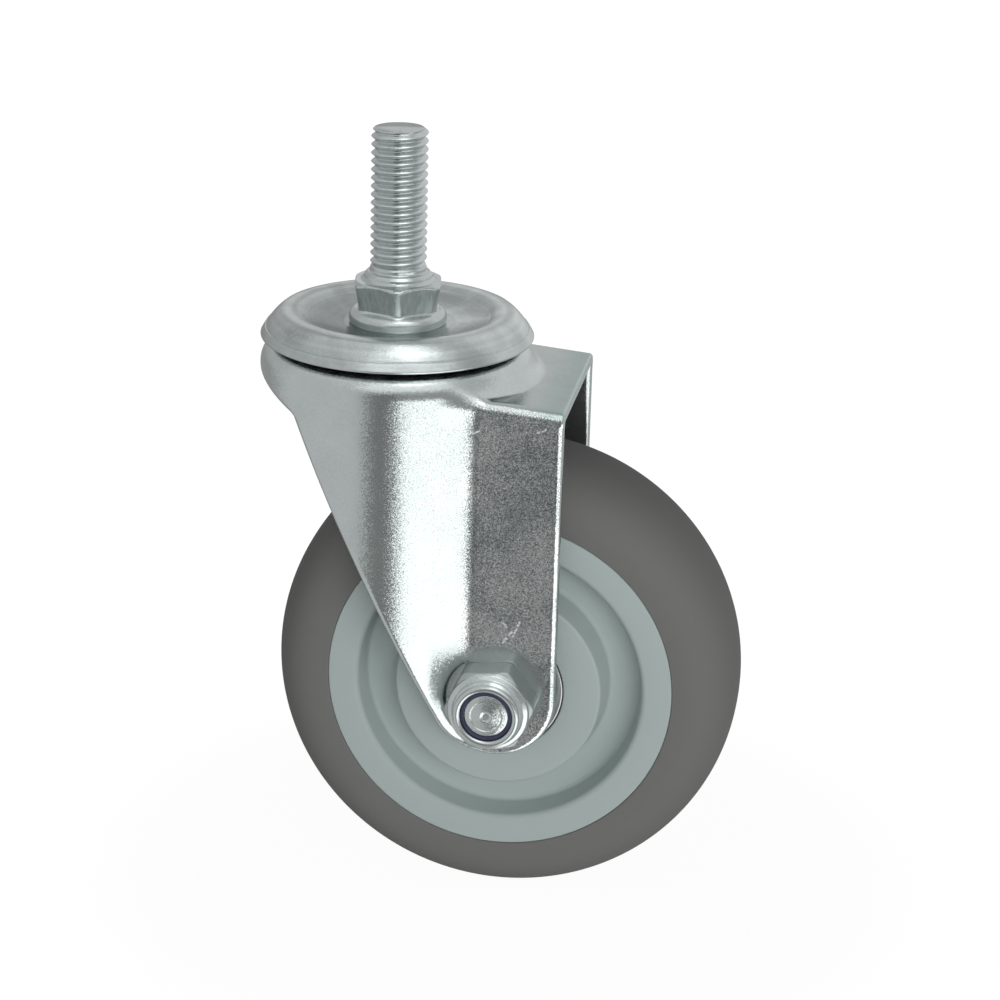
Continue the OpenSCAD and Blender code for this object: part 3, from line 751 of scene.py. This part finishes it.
def fork_outline(x, z):
    """Distance to the fork's side view: front lip, slanted edge, round end and straight back."""
    s = sizes()
    kink = (-s.kink_front, HEAD_TOP - s.kink_drop)
    lip = (-HEAD_RADIUS, HEAD_TOP - s.lip_drop)
    rise = math.atan2(lip[1] - kink[1], kink[0] - lip[0])
    above_lip = -(x - kink[0]) * math.sin(rise) - (z - kink[1]) * math.cos(rise)
    to_kink = Vector((kink[0] - AXLE.x, kink[1] - AXLE.z))
    turn = math.atan2(to_kink.y, to_kink.x) + math.acos(LEG_END_RADIUS / to_kink.length)
    beside_front = (x - AXLE.x) * math.cos(turn) + (z - AXLE.z) * math.sin(turn) - LEG_END_RADIUS
    front = smooth_join(above_lip, beside_front, 0.3 * MM)
    straight = np.maximum(front, x - FORK_BACK)
    across = math.cos(turn) * (z - AXLE.z) - math.sin(turn) * (x - AXLE.x)
    return np.where((across > 0) & (z < AXLE.z), from_axle(x, z) - LEG_END_RADIUS, straight)


def forging_distance(x, y, z):
    """Distance to the stem's waist, collar, hexagon and flange."""
    s = sizes()
    top, foot = -s.hexagon_top, -s.hexagon_top - s.hexagon_height
    radial = np.hypot(x, y)
    collar_points = [(u * MM, v * MM) for u, v in (
        (0, 0.5), (4.7, 0.5), (4.95, -0.35), (5.55, -0.6), (5.75, -1.0), (5.7, -1.55), (5.9, -1.85),
        (6.5, -2.05), (6.9, -2.55), (7.0, -3.1))]
    collar_points += [(7.65 * MM, top - 0.1 * MM), (7.65 * MM, top - 1.5 * MM), (0, top - 1.5 * MM)]
    collar = outline_distance(radial, z, collar_points) - 0.15 * MM
    cos_turn, sin_turn = math.cos(s.hexagon_turn), math.sin(s.hexagon_turn)
    u, v = y * cos_turn - x * sin_turn, x * cos_turn + y * sin_turn
    flats = hexagon_distance(u, v, s.hexagon_width) - (z - top) * math.tan(s.hexagon_draft)
    corner = corner_radius(s.hexagon_width)
    slope = math.radians(32)
    shoulder = (z - top) * math.cos(slope) + (radial - corner + 1.35 * MM) * math.sin(slope)
    taper = (z - top) * math.tan(s.hexagon_draft) / COS_30
    hexagon = smooth_overlap(flats * math.cos(s.hexagon_draft), radial - corner - taper + 0.36 * MM, 0.2 * MM)
    hexagon = smooth_overlap(hexagon, np.maximum(shoulder, z - top), 0.35 * MM)
    hexagon = np.maximum(hexagon, foot - 1 * MM - z)
    inner = s.flange_radius - 2.2 * MM
    disc = outline_distance(radial, z, [(0, PLATE_SEAT), (0, foot - 0.3 * MM), (inner, foot - 0.3 * MM),
                                        (inner, PLATE_SEAT)])
    bead = torus(radial, z, (s.flange_radius - 1.9 * MM, foot - 1.9 * MM), 1.9 * MM)
    flange = np.maximum(smooth_join(disc, bead, 0.3 * MM), PLATE_SEAT - 0.1 * MM - z)
    joined = smooth_join(collar, hexagon, 0.25 * MM)
    return smooth_join(joined, flange, 0.7 * MM)


def nut_distance(x, y, z):
    """Distance to the locknut: bevelled hexagon, round collar and the pocket of its nylon ring."""
    s = sizes()
    face = LEG_INSIDE + s.sheet
    height = -y - face
    total = NUT_END - face
    radial = from_axle(x, z)
    across = (x - AXLE.x) * math.cos(s.nut_turn) + (z - AXLE.z) * math.sin(s.nut_turn)
    along = (z - AXLE.z) * math.cos(s.nut_turn) - (x - AXLE.x) * math.sin(s.nut_turn)
    hexagon = hexagon_distance(across, along, s.wrench)
    hexagon = smooth_overlap(hexagon, radial - corner_radius(s.wrench) + 0.3 * MM, 0.4 * MM)
    ends = np.maximum(bevel(height - 6.4 * MM, radial - s.wrench / 2 + 0.2 * MM),
                      bevel(-height, radial - s.wrench / 2 - 0.3 * MM))
    body = smooth_overlap(hexagon, np.maximum(ends, height - 7.3 * MM), 0.3 * MM)
    body = np.maximum(body, -height)
    collar_points = [(u * MM, v * MM) for u, v in ((0, 0), (8.1, 0), (8.1, 6.6), (7.3, 7.05), (6.95, 7.6))]
    collar_points += [(6.6 * MM, total - 1.7 * MM), (0, total - 1.7 * MM)]
    collar = outline_distance(radial, height, collar_points) - 0.35 * MM
    lip = torus(radial, height, (6.2 * MM, total - 0.78 * MM), 0.76 * MM)
    nut = smooth_join(body, np.maximum(smooth_join(collar, lip, 0.15 * MM), -height), 0.3 * MM)
    pocket = np.maximum(radial - s.bolt_radius - 0.45 * MM, total - 2.7 * MM - height)
    nut = smooth_overlap(nut, -pocket, 0.15 * MM)
    return np.maximum(nut, s.bolt_radius + GAP - radial)


def bolt_head_distance(x, y, z):
    """Distance to the bolt's hexagonal head on the far leg."""
    s = sizes()
    height = y - LEG_INSIDE - s.sheet
    radial = from_axle(x, z)
    hexagon = hexagon_distance(x - AXLE.x, z - AXLE.z, s.wrench)
    end = np.maximum(bevel(height - BOLT_HEAD, radial - s.wrench / 2 + 0.3 * MM), height - BOLT_HEAD)
    head = smooth_overlap(hexagon, end, 0.3 * MM)
    head = smooth_overlap(head, -height, 0.2 * MM)
    dish = np.hypot(radial, (height - BOLT_HEAD - 18 * MM)) - 18.3 * MM
    return smooth_overlap(head, -dish, 0.2 * MM)


def thread_tree():
    """Geometry nodes: a strip that winds up a bar as a thread, with its tip bevelled."""
    sockets = {name: ("NodeSocketFloat", None)
               for name in ("Pitch", "Depth", "Crest", "Low", "High", "Bevel", "Runout")}
    sockets.update({"Around": ("NodeSocketInt", None), "Rows": ("NodeSocketInt", None),
                    "Material": ("NodeSocketMaterial", None)})
    wiring, given, made = group("wound_thread", sockets, {"Geometry": "NodeSocketGeometry"},
                                kind="GeometryNodeTree")
    math_of, product = wiring.math, wiring.product
    low, high, pitch, crest = (given[name] for name in ("Low", "High", "Pitch", "Crest"))
    turns = math_of("CEIL", math_of("ADD", math_of("DIVIDE", math_of("SUBTRACT", high, low), pitch), 1.0))
    tall = product(turns, pitch)
    grid = wiring.add("GeometryNodeMeshGrid", {
        "Size X": 1.0, "Size Y": tall, "Vertices X": math_of("ADD", given["Around"], 1.0),
        "Vertices Y": math_of("ADD", product(turns, given["Rows"]), 1.0)}).outputs["Mesh"]
    place = wiring.apart(wiring.add("GeometryNodeInputPosition").outputs[0])
    turn = math_of("ADD", place["X"], 0.5)
    climb = math_of("ADD", place["Y"], product(tall, 0.5))
    raw = math_of("ADD", climb, product(math_of("SUBTRACT", turn, 1.0), pitch))
    z = math_of("MINIMUM", math_of("MAXIMUM", math_of("ADD", raw, low), low), high)
    phase = math_of("SUBTRACT", math_of("DIVIDE", math_of("SUBTRACT", z, low), pitch), turn)
    fraction = math_of("FRACT", math_of("ADD", phase, 1.0))
    from_root = product(math_of("ABSOLUTE", math_of("SUBTRACT", fraction, 0.5)), 2.0)
    height = math_of("MULTIPLY_ADD", from_root, 1.2, -0.12, clamp=True)
    thread = math_of("SUBTRACT", crest, product(given["Depth"], math_of("SUBTRACT", 1.0, height)))
    fade = wiring.step(math_of("SUBTRACT", z, low), 0.0, given["Runout"])
    limit = math_of("SUBTRACT", crest, product(math_of("SUBTRACT", 1.0, fade), product(given["Depth"], 0.75)))
    cone = math_of("ADD", math_of("SUBTRACT", crest, given["Bevel"]), math_of("SUBTRACT", high, z))
    radius = math_of("MINIMUM", math_of("MINIMUM", thread, cone), limit)
    around = product(turn, 2 * math.pi)
    target = wiring.add("ShaderNodeCombineXYZ", {"X": product(radius, math_of("COSINE", around)),
                                                 "Y": product(radius, math_of("SINE", around)), "Z": z})
    mesh = wiring.add("GeometryNodeSetPosition", {"Geometry": grid, "Position": target.outputs[0]})
    for kind, inputs in (("GeometryNodeMergeByDistance", {"Distance": 0.002 * MM}),
                         ("GeometryNodeSetShadeSmooth", {}), ("GeometryNodeRealizeInstances", {}),
                         ("GeometryNodeSetMaterial", {"Material": given["Material"]})):
        mesh = wiring.add(kind, {"Geometry": mesh.outputs[0], **inputs})
    wiring.put(made, {"Geometry": mesh.outputs[0]})
    return wiring.tree


def from_tree(name, tree, values):
    """A plain mesh from a geometry node tree and the values of its inputs."""
    carrier = in_scene(name + "_carrier", bpy.data.meshes.new(name + "_carrier"))
    modifier = carrier.modifiers.new("make", "NODES")
    modifier.node_group = tree
    for item in tree.interface.items_tree:
        if item.in_out == "INPUT" and item.name in values:
            modifier[item.identifier] = values[item.name]
    view = bpy.context.evaluated_depsgraph_get()
    mesh = bpy.data.meshes.new_from_object(carrier.evaluated_get(view))
    mesh.name = name
    carrier.modifiers.remove(modifier)
    bpy.data.objects.remove(carrier)
    return in_scene(name, mesh)


def close_ends(piece):
    """Fills a tube's open ends with fans of triangles."""
    build = bmesh.new()
    build.from_mesh(piece.data)
    rim = [edge for edge in build.edges if edge.is_boundary]
    caps = bmesh.ops.holes_fill(build, edges=rim, sides=0)["faces"]
    bmesh.ops.poke(build, faces=caps)
    bmesh.ops.recalc_face_normals(build, faces=build.faces)
    build.to_mesh(piece.data)
    build.free()
    piece.data.set_sharp_from_angle(angle=math.radians(50))


class CASTOR_OT_stem(bpy.types.Operator):
    """Thread, forge and rivet the stem"""

    bl_idname = "castor.stem"
    bl_label = "Stem"

    def execute(self, context):
        s = sizes()
        shank = from_tree("stem_thread", thread_tree(), {
            "Pitch": s.thread_pitch, "Depth": s.thread_depth, "Crest": s.crest_radius,
            "Low": -0.7 * MM, "High": STEM_TOP, "Bevel": 0.6 * MM, "Runout": 0.5 * MM,
            "Around": int(128 / FINENESS), "Rows": 14, "Material": thread_steel()})
        close_ends(shank)
        fit_piece(shank, "stem_and_plate", "zinc_steel", "threaded_stem", finish=thread_steel)
        reach = 10.6 * MM
        forging = skin("stem_forging", forging_distance, (-reach, -reach, PLATE_TOP - 3 * MM),
                       (reach, reach, 1.4 * MM), 0.2 * MM * FINENESS)
        fit_piece(forging, "stem_and_plate", "zinc_steel", "threaded_stem", finish=forged_steel)
        pin, neck, rivet = 6.98 * MM, 5.48 * MM, 8.5 * MM
        pin_top, cup_foot = PLATE_TOP - 2.6 * MM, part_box("lower_race_cup")[0].z
        kingpin = lathe("stem_kingpin", rounded([
            (0, pin_top, 0), (pin, pin_top, 0), (pin, cup_foot + 2 * MM, 0), (neck, cup_foot + 2 * MM, 0),
            (neck, cup_foot, 0), (rivet, cup_foot, 0.2 * MM), (rivet, RIVET_FOOT, 1.6 * MM),
            (0, RIVET_FOOT, 0)]), segments=96)
        fit_piece(kingpin, "stem_and_plate", "zinc_steel", "threaded_stem")
        return {"FINISHED"}


class CASTOR_OT_plate(bpy.types.Operator):
    """Press the dished top plate"""

    bl_idname = "castor.plate"
    bl_label = "Top plate"

    def execute(self, context):
        t = sizes().plate_sheet
        groove = UPPER_BALL_R + GROOVE_PLAY
        ridge = groove + t

        def arc(radius, first, last, steps=22):
            """Points of the ridge's round at this radius, between two angles in degrees."""
            start, sweep = math.radians(first), math.radians(last) - math.radians(first)
            turns = [start + sweep * i / steps for i in range(steps + 1)]
            return [(UPPER_RACE_R + radius * math.cos(turn), PLATE_TOP - ridge + radius * math.sin(turn), 0)
                    for turn in turns]

        over = arc(ridge, 132, 70)
        rim_top = PLATE_TOP - 3.65 * MM
        top, foot = over[-1], (PLATE_RADIUS - 1.35 * MM, rim_top + 0.32 * MM, 0.05 * MM)
        bulge = 1.04 * MM
        flank = [(top[0] + (foot[0] - top[0]) * u, top[1] + (foot[1] - top[1]) * u + bulge * u * (1 - u), 0)
                 for u in (i / 8 for i in range(1, 8))]
        corners = [(7 * MM, PLATE_SEAT - t, 0), (7 * MM, PLATE_SEAT, 0), (11.2 * MM, PLATE_SEAT, 2.5 * MM),
                   *over, *flank, foot,
                   (PLATE_RADIUS - 1.22 * MM, rim_top - 0.02 * MM, 0.05 * MM),
                   (PLATE_RADIUS - 0.95 * MM, rim_top - 0.02 * MM, 0.15 * MM),
                   (PLATE_RADIUS, rim_top - t + 0.35 * MM, 0.3 * MM),
                   (PLATE_RADIUS - 0.2 * MM, rim_top - t, 0.2 * MM),
                   (PLATE_RADIUS - 1.2 * MM, rim_top - t, 0.2 * MM),
                   *arc(groove, 50, 140), (11.6 * MM, PLATE_SEAT - t, 2 * MM)]
        plate = lathe("plate_pressing", rounded(corners), segments=288)
        fit_piece(plate, "stem_and_plate", "zinc_steel", "top_plate", finish=plate_steel)
        return {"FINISHED"}


class CASTOR_OT_fork(bpy.types.Operator):
    """Press the fork from one sheet"""

    bl_idname = "castor.fork"
    bl_label = "Fork"

    def execute(self, context):
        low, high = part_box("fork")
        fork = skin("fork_pressing", fork_distance, low, high, 0.53 * MM * FINENESS)
        fit_piece(fork, "fork_assembly", "zinc_steel", "fork", finish=fork_steel)
        return {"FINISHED"}


class CASTOR_OT_axle(bpy.types.Operator):
    """Make the bolt, the locknut and its nylon ring"""

    bl_idname = "castor.axle"
    bl_label = "Axle bolt and locknut"

    def execute(self, context):
        s = sizes()
        face = LEG_INSIDE + s.sheet
        corner = corner_radius(s.wrench)
        nut = skin("locknut", nut_distance, (AXLE.x - corner, -NUT_END, AXLE.z - s.wrench / 2),
                   (AXLE.x + corner, -face, AXLE.z + s.wrench / 2), 0.2 * MM * FINENESS)
        fit_piece(nut, "fork_assembly", "zinc_steel", "axle_nut", finish=nut_steel)
        ring_top = NUT_END - 0.7 * MM
        inner, outer = s.bolt_radius - 0.3 * MM, s.bolt_radius + 0.43 * MM
        ring = lathe("nylon_ring", rounded([
            (inner, ring_top, 0.15 * MM), (inner, ring_top - 0.6 * MM, 0), (outer, ring_top - 1.8 * MM, 0),
            (outer, ring_top, 0.15 * MM)]), (AXLE.x, 0, AXLE.z), True, 96)
        fit_piece(ring, "fork_assembly", "nylon", "nut_insert")
        end = NUT_END - 0.35 * MM
        neck = s.bolt_radius - 0.33 * MM
        shaft = lathe("bolt_shaft", rounded([
            (0, -face - 1 * MM, 0), (s.bolt_radius, -face - 1 * MM, 0), (s.bolt_radius, end - 2.6 * MM, 0),
            (neck, end - 1.5 * MM, 0), (neck, end - 0.55 * MM, 0.25 * MM),
            (3.45 * MM, end - 0.2 * MM, 0.15 * MM), (3.2 * MM, end - 0.45 * MM, 0.1 * MM),
            (2.9 * MM, end - 0.35 * MM, 0.15 * MM), (1.3 * MM, end, 0.5 * MM),
            (0.7 * MM, end - 0.3 * MM, 0.25 * MM), (0, end - 0.32 * MM, 0)]), (AXLE.x, 0, AXLE.z), True, 128)
        fit_piece(shaft, "fork_assembly", "zinc_steel", "axle_bolt", finish=cut_steel)
        head = skin("bolt_head", bolt_head_distance, (AXLE.x - corner, face, AXLE.z - s.wrench / 2),
                    (AXLE.x + corner, face + BOLT_HEAD, AXLE.z + s.wrench / 2), 0.25 * MM * FINENESS)
        fit_piece(head, "fork_assembly", "zinc_steel", "axle_bolt")
        return {"FINISHED"}


class CASTOR_OT_wheel(bpy.types.Operator):
    """Mould the hub and the tyre"""

    bl_idname = "castor.wheel"
    bl_label = "Wheel"

    def execute(self, context):
        s = sizes()
        lean = math.tan(s.hub_draft)
        wide, face = HUB_HALF_WIDTH, s.rim_half_width
        rib = s.rim_radius + 2.4 * MM
        bore = BEARING_RADIUS + GAP
        half = [(bore - 2.4 * MM, wide - 8.2 * MM, 0), (bore, wide - 8.2 * MM, 0), (bore, wide, 0.35 * MM),
                (s.boss_radius, wide, 0.7 * MM),
                (s.boss_radius + (wide - s.web_half) * lean, s.web_half, 1.1 * MM),
                (s.rim_opening - (face - s.web_half) * lean, s.web_half, 1.1 * MM),
                (s.rim_opening, face, 1.3 * MM), (s.rim_radius, face, 0.3 * MM),
                (s.rim_radius, 5 * MM, 0), (rib, 4 * MM, 0)]
        corners = half + [(r, -h, c) for r, h, c in reversed(half)]
        hub = lathe("hub_moulding", rounded(corners), AXLE, True)
        fit_piece(hub, "wheel", "hub_plastic", "wheel_hub")
        base = s.rim_radius + 2 * MM
        squareness = 2.4
        steps = 40

        def side(share):
            """A point of the tyre's section, from its side (0) to its tread (1)."""
            angle = share * math.pi / 2
            return (base + (WHEEL_RADIUS - base) * math.sin(angle) ** (2 / squareness),
                    TYRE_HALF_WIDTH * max(math.cos(angle), 0) ** (2 / squareness), 0)

        inner = s.rim_radius + GAP
        half = [(rib + GAP, 4 * MM, 0), (inner, 5 * MM, 0), (inner, TYRE_HALF_WIDTH - 0.1 * MM, 0.3 * MM)]
        half += [side((i / steps) ** 1.25) for i in range(steps)]
        corners = half + [(WHEEL_RADIUS, 0, 0)] + [(r, -h, c) for r, h, c in reversed(half)]
        tyre = lathe("tyre_moulding", rounded(corners), AXLE, True, 320)
        fit_piece(tyre, "wheel", "tyre_rubber", "tyre")
        return {"FINISHED"}


class CASTOR_OT_bearings(bpy.types.Operator):
    """Turn the bearings' outer rings"""

    bl_idname = "castor.bearings"
    bl_label = "Bearing rings and seals"

    def execute(self, context):
        groove = 2.4 * MM
        land = BEARING_RADIUS - groove
        for side, name in ((1, "nut_side"), (-1, "head_side")):
            out, inside = side * BEARING_OUT, side * (BEARING_OUT - BEARING_WIDTH)
            middle = (out + inside) / 2
            race = [(land - 1.6 * MM + groove * math.cos(turn), middle + side * groove * math.sin(turn), 0)
                    for turn in map(math.radians, (-40, -20, 0, 20, 40))]
            ring = lathe(name + "_ring", rounded([
                (land, out, 0.25 * MM), (BEARING_RADIUS, out, 0.5 * MM), (BEARING_RADIUS, inside, 0.5 * MM),
                (land, inside, 0.25 * MM), (land + GAP, middle - side * groove, 0), *race,
                (land + GAP, middle + side * groove, 0)]), (AXLE.x, 0, AXLE.z), True, 192)
            fit_piece(ring, "wheel", "bearing_steel", name + "_outer_ring")
        return {"FINISHED"}


class CASTOR_OT_finishes(bpy.types.Operator):
    """Give every fixed node that still shows its finish"""

    bl_idname = "castor.finishes"
    bl_label = "Finishes of the fixed parts"

    def execute(self, context):
        slots = {entry["node"]: entry["material_slot"] for entry in frame["record"]["subparts"]}
        for name, node in frame["nodes"].items():
            finish = greased_steel() if name.endswith(("balls", "cage")) else FINISH_OF_SLOT[slots[name]]()
            for i in range(max(len(node.material_slots), 1)):
                if not node.material_slots:
                    node.data.materials.append(finish)
                node.material_slots[i].material = finish
        return {"FINISHED"}


SENSOR_WIDTH = 36
FLOOR_HALF = 3.0
FLOOR_GLOW = 1.03
# Level of the room that the metal reflects, and its cards, each over the ones before it. A card has a left, a
# right, a low and a high edge and the softness of its sides and its ends in degrees, and a level.
ROOM_LEVEL = 0.50
ROOM_CARDS = (
    (100, 180, -5, 60, 12, 10, 0.74), (-200, -180, -5, 60, 12, 10, 0.74), (-172, -158, 8, 60, 4, 8, 0.76),
    (-190, -112, -99, 2, 14, 8, 0.34), (-100, -7, -99, 72, 14, 8, 0.61), (-112, 88, 42, 84, 14, 10, 0.70),
    (-22, 64, 26, 84, 8, 6, 1.05), (6, 62, 54, 82, 8, 6, 2.2), (9, 66, -14, 18, 5, 7, 0.37),
    (-14, 12, -99, 17, 5, 5, 0.20), (13, 78, -99, -13, 4, 3, 1.75))


def seen_by_camera(wiring):
    """1 for rays that the camera sees directly or through a clear piece."""
    path = wiring.add("ShaderNodeLightPath").outputs
    return wiring.math("MAXIMUM", path["Is Camera Ray"], path["Is Transmission Ray"])


class CASTOR_OT_stage(bpy.types.Operator):
    """Set the floor, the lights, the surroundings and the camera"""

    bl_idname = "castor.stage"
    bl_label = "Stage"

    def execute(self, context):
        view = context.scene.castor_view
        context.scene.view_settings.view_transform = "Standard"
        self.make_camera(context, view)
        self.make_floor()
        self.make_world(context)
        self.make_lamp("front_softbox", place=(0.5, -0.9, -0.08), wide=0.8, tall=0.8, power=9.0)
        return {"FINISHED"}

    def make_camera(self, context, view):
        """The camera where the photographer stood."""
        a, e, roll = view.azimuth, view.elevation, view.roll
        back = Vector((math.sin(a) * math.cos(e), -math.cos(a) * math.cos(e), math.sin(e)))
        level = Vector((math.cos(a), math.sin(a), 0))
        raised = back.cross(level)
        right = level * math.cos(roll) + raised * math.sin(roll)
        up = raised * math.cos(roll) - level * math.sin(roll)
        camera = bpy.data.objects.new("camera", bpy.data.cameras.new("camera"))
        camera.data.lens = view.lens
        camera.data.sensor_width = SENSOR_WIDTH
        camera.data.clip_end = 20
        place = right * view.right + up * view.up + back * view.distance - Vector((0, 0, view.aim_drop))
        turn = Matrix((right, up, back)).transposed().to_4x4()
        camera.matrix_world = Matrix.Translation(place) @ turn
        context.scene.collection.objects.link(camera)
        context.scene.camera = camera

    def make_floor(self):
        """A white floor under the tyre that shows only a faint shadow."""
        z = AXLE.z - WHEEL_RADIUS
        mesh = bpy.data.meshes.new("floor")
        corners = ((-1, -1), (1, -1), (1, 1), (-1, 1))
        mesh.from_pydata([(x * FLOOR_HALF, y * FLOOR_HALF, z) for x, y in corners], [], [(0, 1, 2, 3)])
        floor = in_scene("floor", mesh)
        white = Finish("white_floor")
        white.put(white.shader, {"Base Color": (0.85, 0.85, 0.85, 1), "Roughness": 0.9,
                                 "Specular IOR Level": 0.0})
        glow = white.add("ShaderNodeEmission", {"Color": (1, 1, 1, 1), "Strength": FLOOR_GLOW})
        away = white.vector("DISTANCE", white.place, (AXLE.x, 0, z))
        share = white.product(seen_by_camera(white), white.step(away, 0.06, 0.14, 0.93, 1.0))
        mixed = white.add("ShaderNodeMixShader", {0: share, 1: white.shader.outputs[0], 2: glow.outputs[0]})
        white.put(white.tree.nodes["Material Output"], {"Surface": mixed.outputs[0]})
        mesh.materials.append(white.made)
        floor.visible_glossy = False

    def make_world(self, context):
        """White for the camera, a soft grey light, and a room of bright and dark cards for reflections."""
        world = bpy.data.worlds.new("studio")
        context.scene.world = world
        world.use_nodes = True
        wiring = Wiring(world.node_tree)
        way = wiring.apart(wiring.add("ShaderNodeTexCoord").outputs["Generated"])
        degrees = math.degrees(1)
        azimuth = wiring.product(wiring.math("ARCTAN2", way["X"], wiring.product(way["Y"], -1.0)), degrees)
        elevation = wiring.product(wiring.math("ARCSINE", way["Z"]), degrees)

        def within(value, low, high, soft):
            """1 between two limits, with soft ends."""
            return wiring.product(wiring.step(value, low - soft, low + soft),
                                  wiring.step(value, high - soft, high + soft, 1.0, 0.0))

        room = ROOM_LEVEL
        for left, right, low, high, soft, soft_ends, target in ROOM_CARDS:
            card = wiring.product(within(azimuth, left, right, soft), within(elevation, low, high, soft_ends))
            room = wiring.between(card, room, target)
        plain = wiring.product(wiring.step(way["Y"], -0.9, 0.3, 0.75, 0.3),
                               wiring.step(way["Z"], 0.0, 0.8, 1.0, 0.4))
        level = wiring.between(wiring.add("ShaderNodeLightPath").outputs["Is Glossy Ray"], plain, room)
        level = wiring.between(seen_by_camera(wiring), level, 1.0)
        wiring.put(world.node_tree.nodes["Background"], {"Color": (1, 1, 1, 1), "Strength": level})

    def make_lamp(self, name, place, wide, tall, power):
        """A soft rectangular lamp that looks at the middle of the castor."""
        lamp = bpy.data.lights.new(name, "AREA")
        lamp.shape = "RECTANGLE"
        lamp.size, lamp.size_y, lamp.energy = wide, tall, power
        holder = bpy.data.objects.new(name, lamp)
        target = Vector((AXLE.x / 2, 0, AXLE.z / 2))
        holder.location = place
        holder.rotation_euler = (Vector(place) - target).to_track_quat("Z", "Y").to_euler()
        holder.visible_glossy = False
        bpy.context.scene.collection.objects.link(holder)


class CASTOR_PT_panel(bpy.types.Panel):
    """Lists the castor's pieces"""

    bl_idname = "CASTOR_PT_panel"
    bl_label = "Castor"
    bl_space_type = "VIEW_3D"
    bl_region_type = "UI"
    bl_category = "Castor"

    def draw(self, context):
        for operator in OPERATORS:
            self.layout.operator(operator.bl_idname)
        scene = context.scene
        for settings in (scene.castor_sizes, scene.castor_colours, scene.castor_view):
            for key in settings.__annotations__:
                self.layout.prop(settings, key)


OPERATORS = (CASTOR_OT_stage, CASTOR_OT_finishes, CASTOR_OT_stem, CASTOR_OT_plate, CASTOR_OT_fork,
             CASTOR_OT_axle, CASTOR_OT_wheel, CASTOR_OT_bearings)
CLASSES = (CastorSizes, CastorColours, CastorView, *OPERATORS, CASTOR_PT_panel)


def register():
    """Registers the settings, the operators and the panel."""
    for each in CLASSES:
        bpy.utils.register_class(each)
    bpy.types.Scene.castor_sizes = bpy.props.PointerProperty(type=CastorSizes)
    bpy.types.Scene.castor_colours = bpy.props.PointerProperty(type=CastorColours)
    bpy.types.Scene.castor_view = bpy.props.PointerProperty(type=CastorView)


def unregister():
    """Takes them away again."""
    del bpy.types.Scene.castor_view
    del bpy.types.Scene.castor_colours
    del bpy.types.Scene.castor_sizes
    for each in reversed(CLASSES):
        bpy.utils.unregister_class(each)


def main():
    """Builds the stage and every piece."""
    register()
    for operator in OPERATORS:
        group_name, action = operator.bl_idname.split(".")
        result = getattr(getattr(bpy.ops, group_name), action)()
        if "FINISHED" not in result:
            raise RuntimeError(operator.bl_idname + " did not finish")


if __name__ == "__main__":
    main()
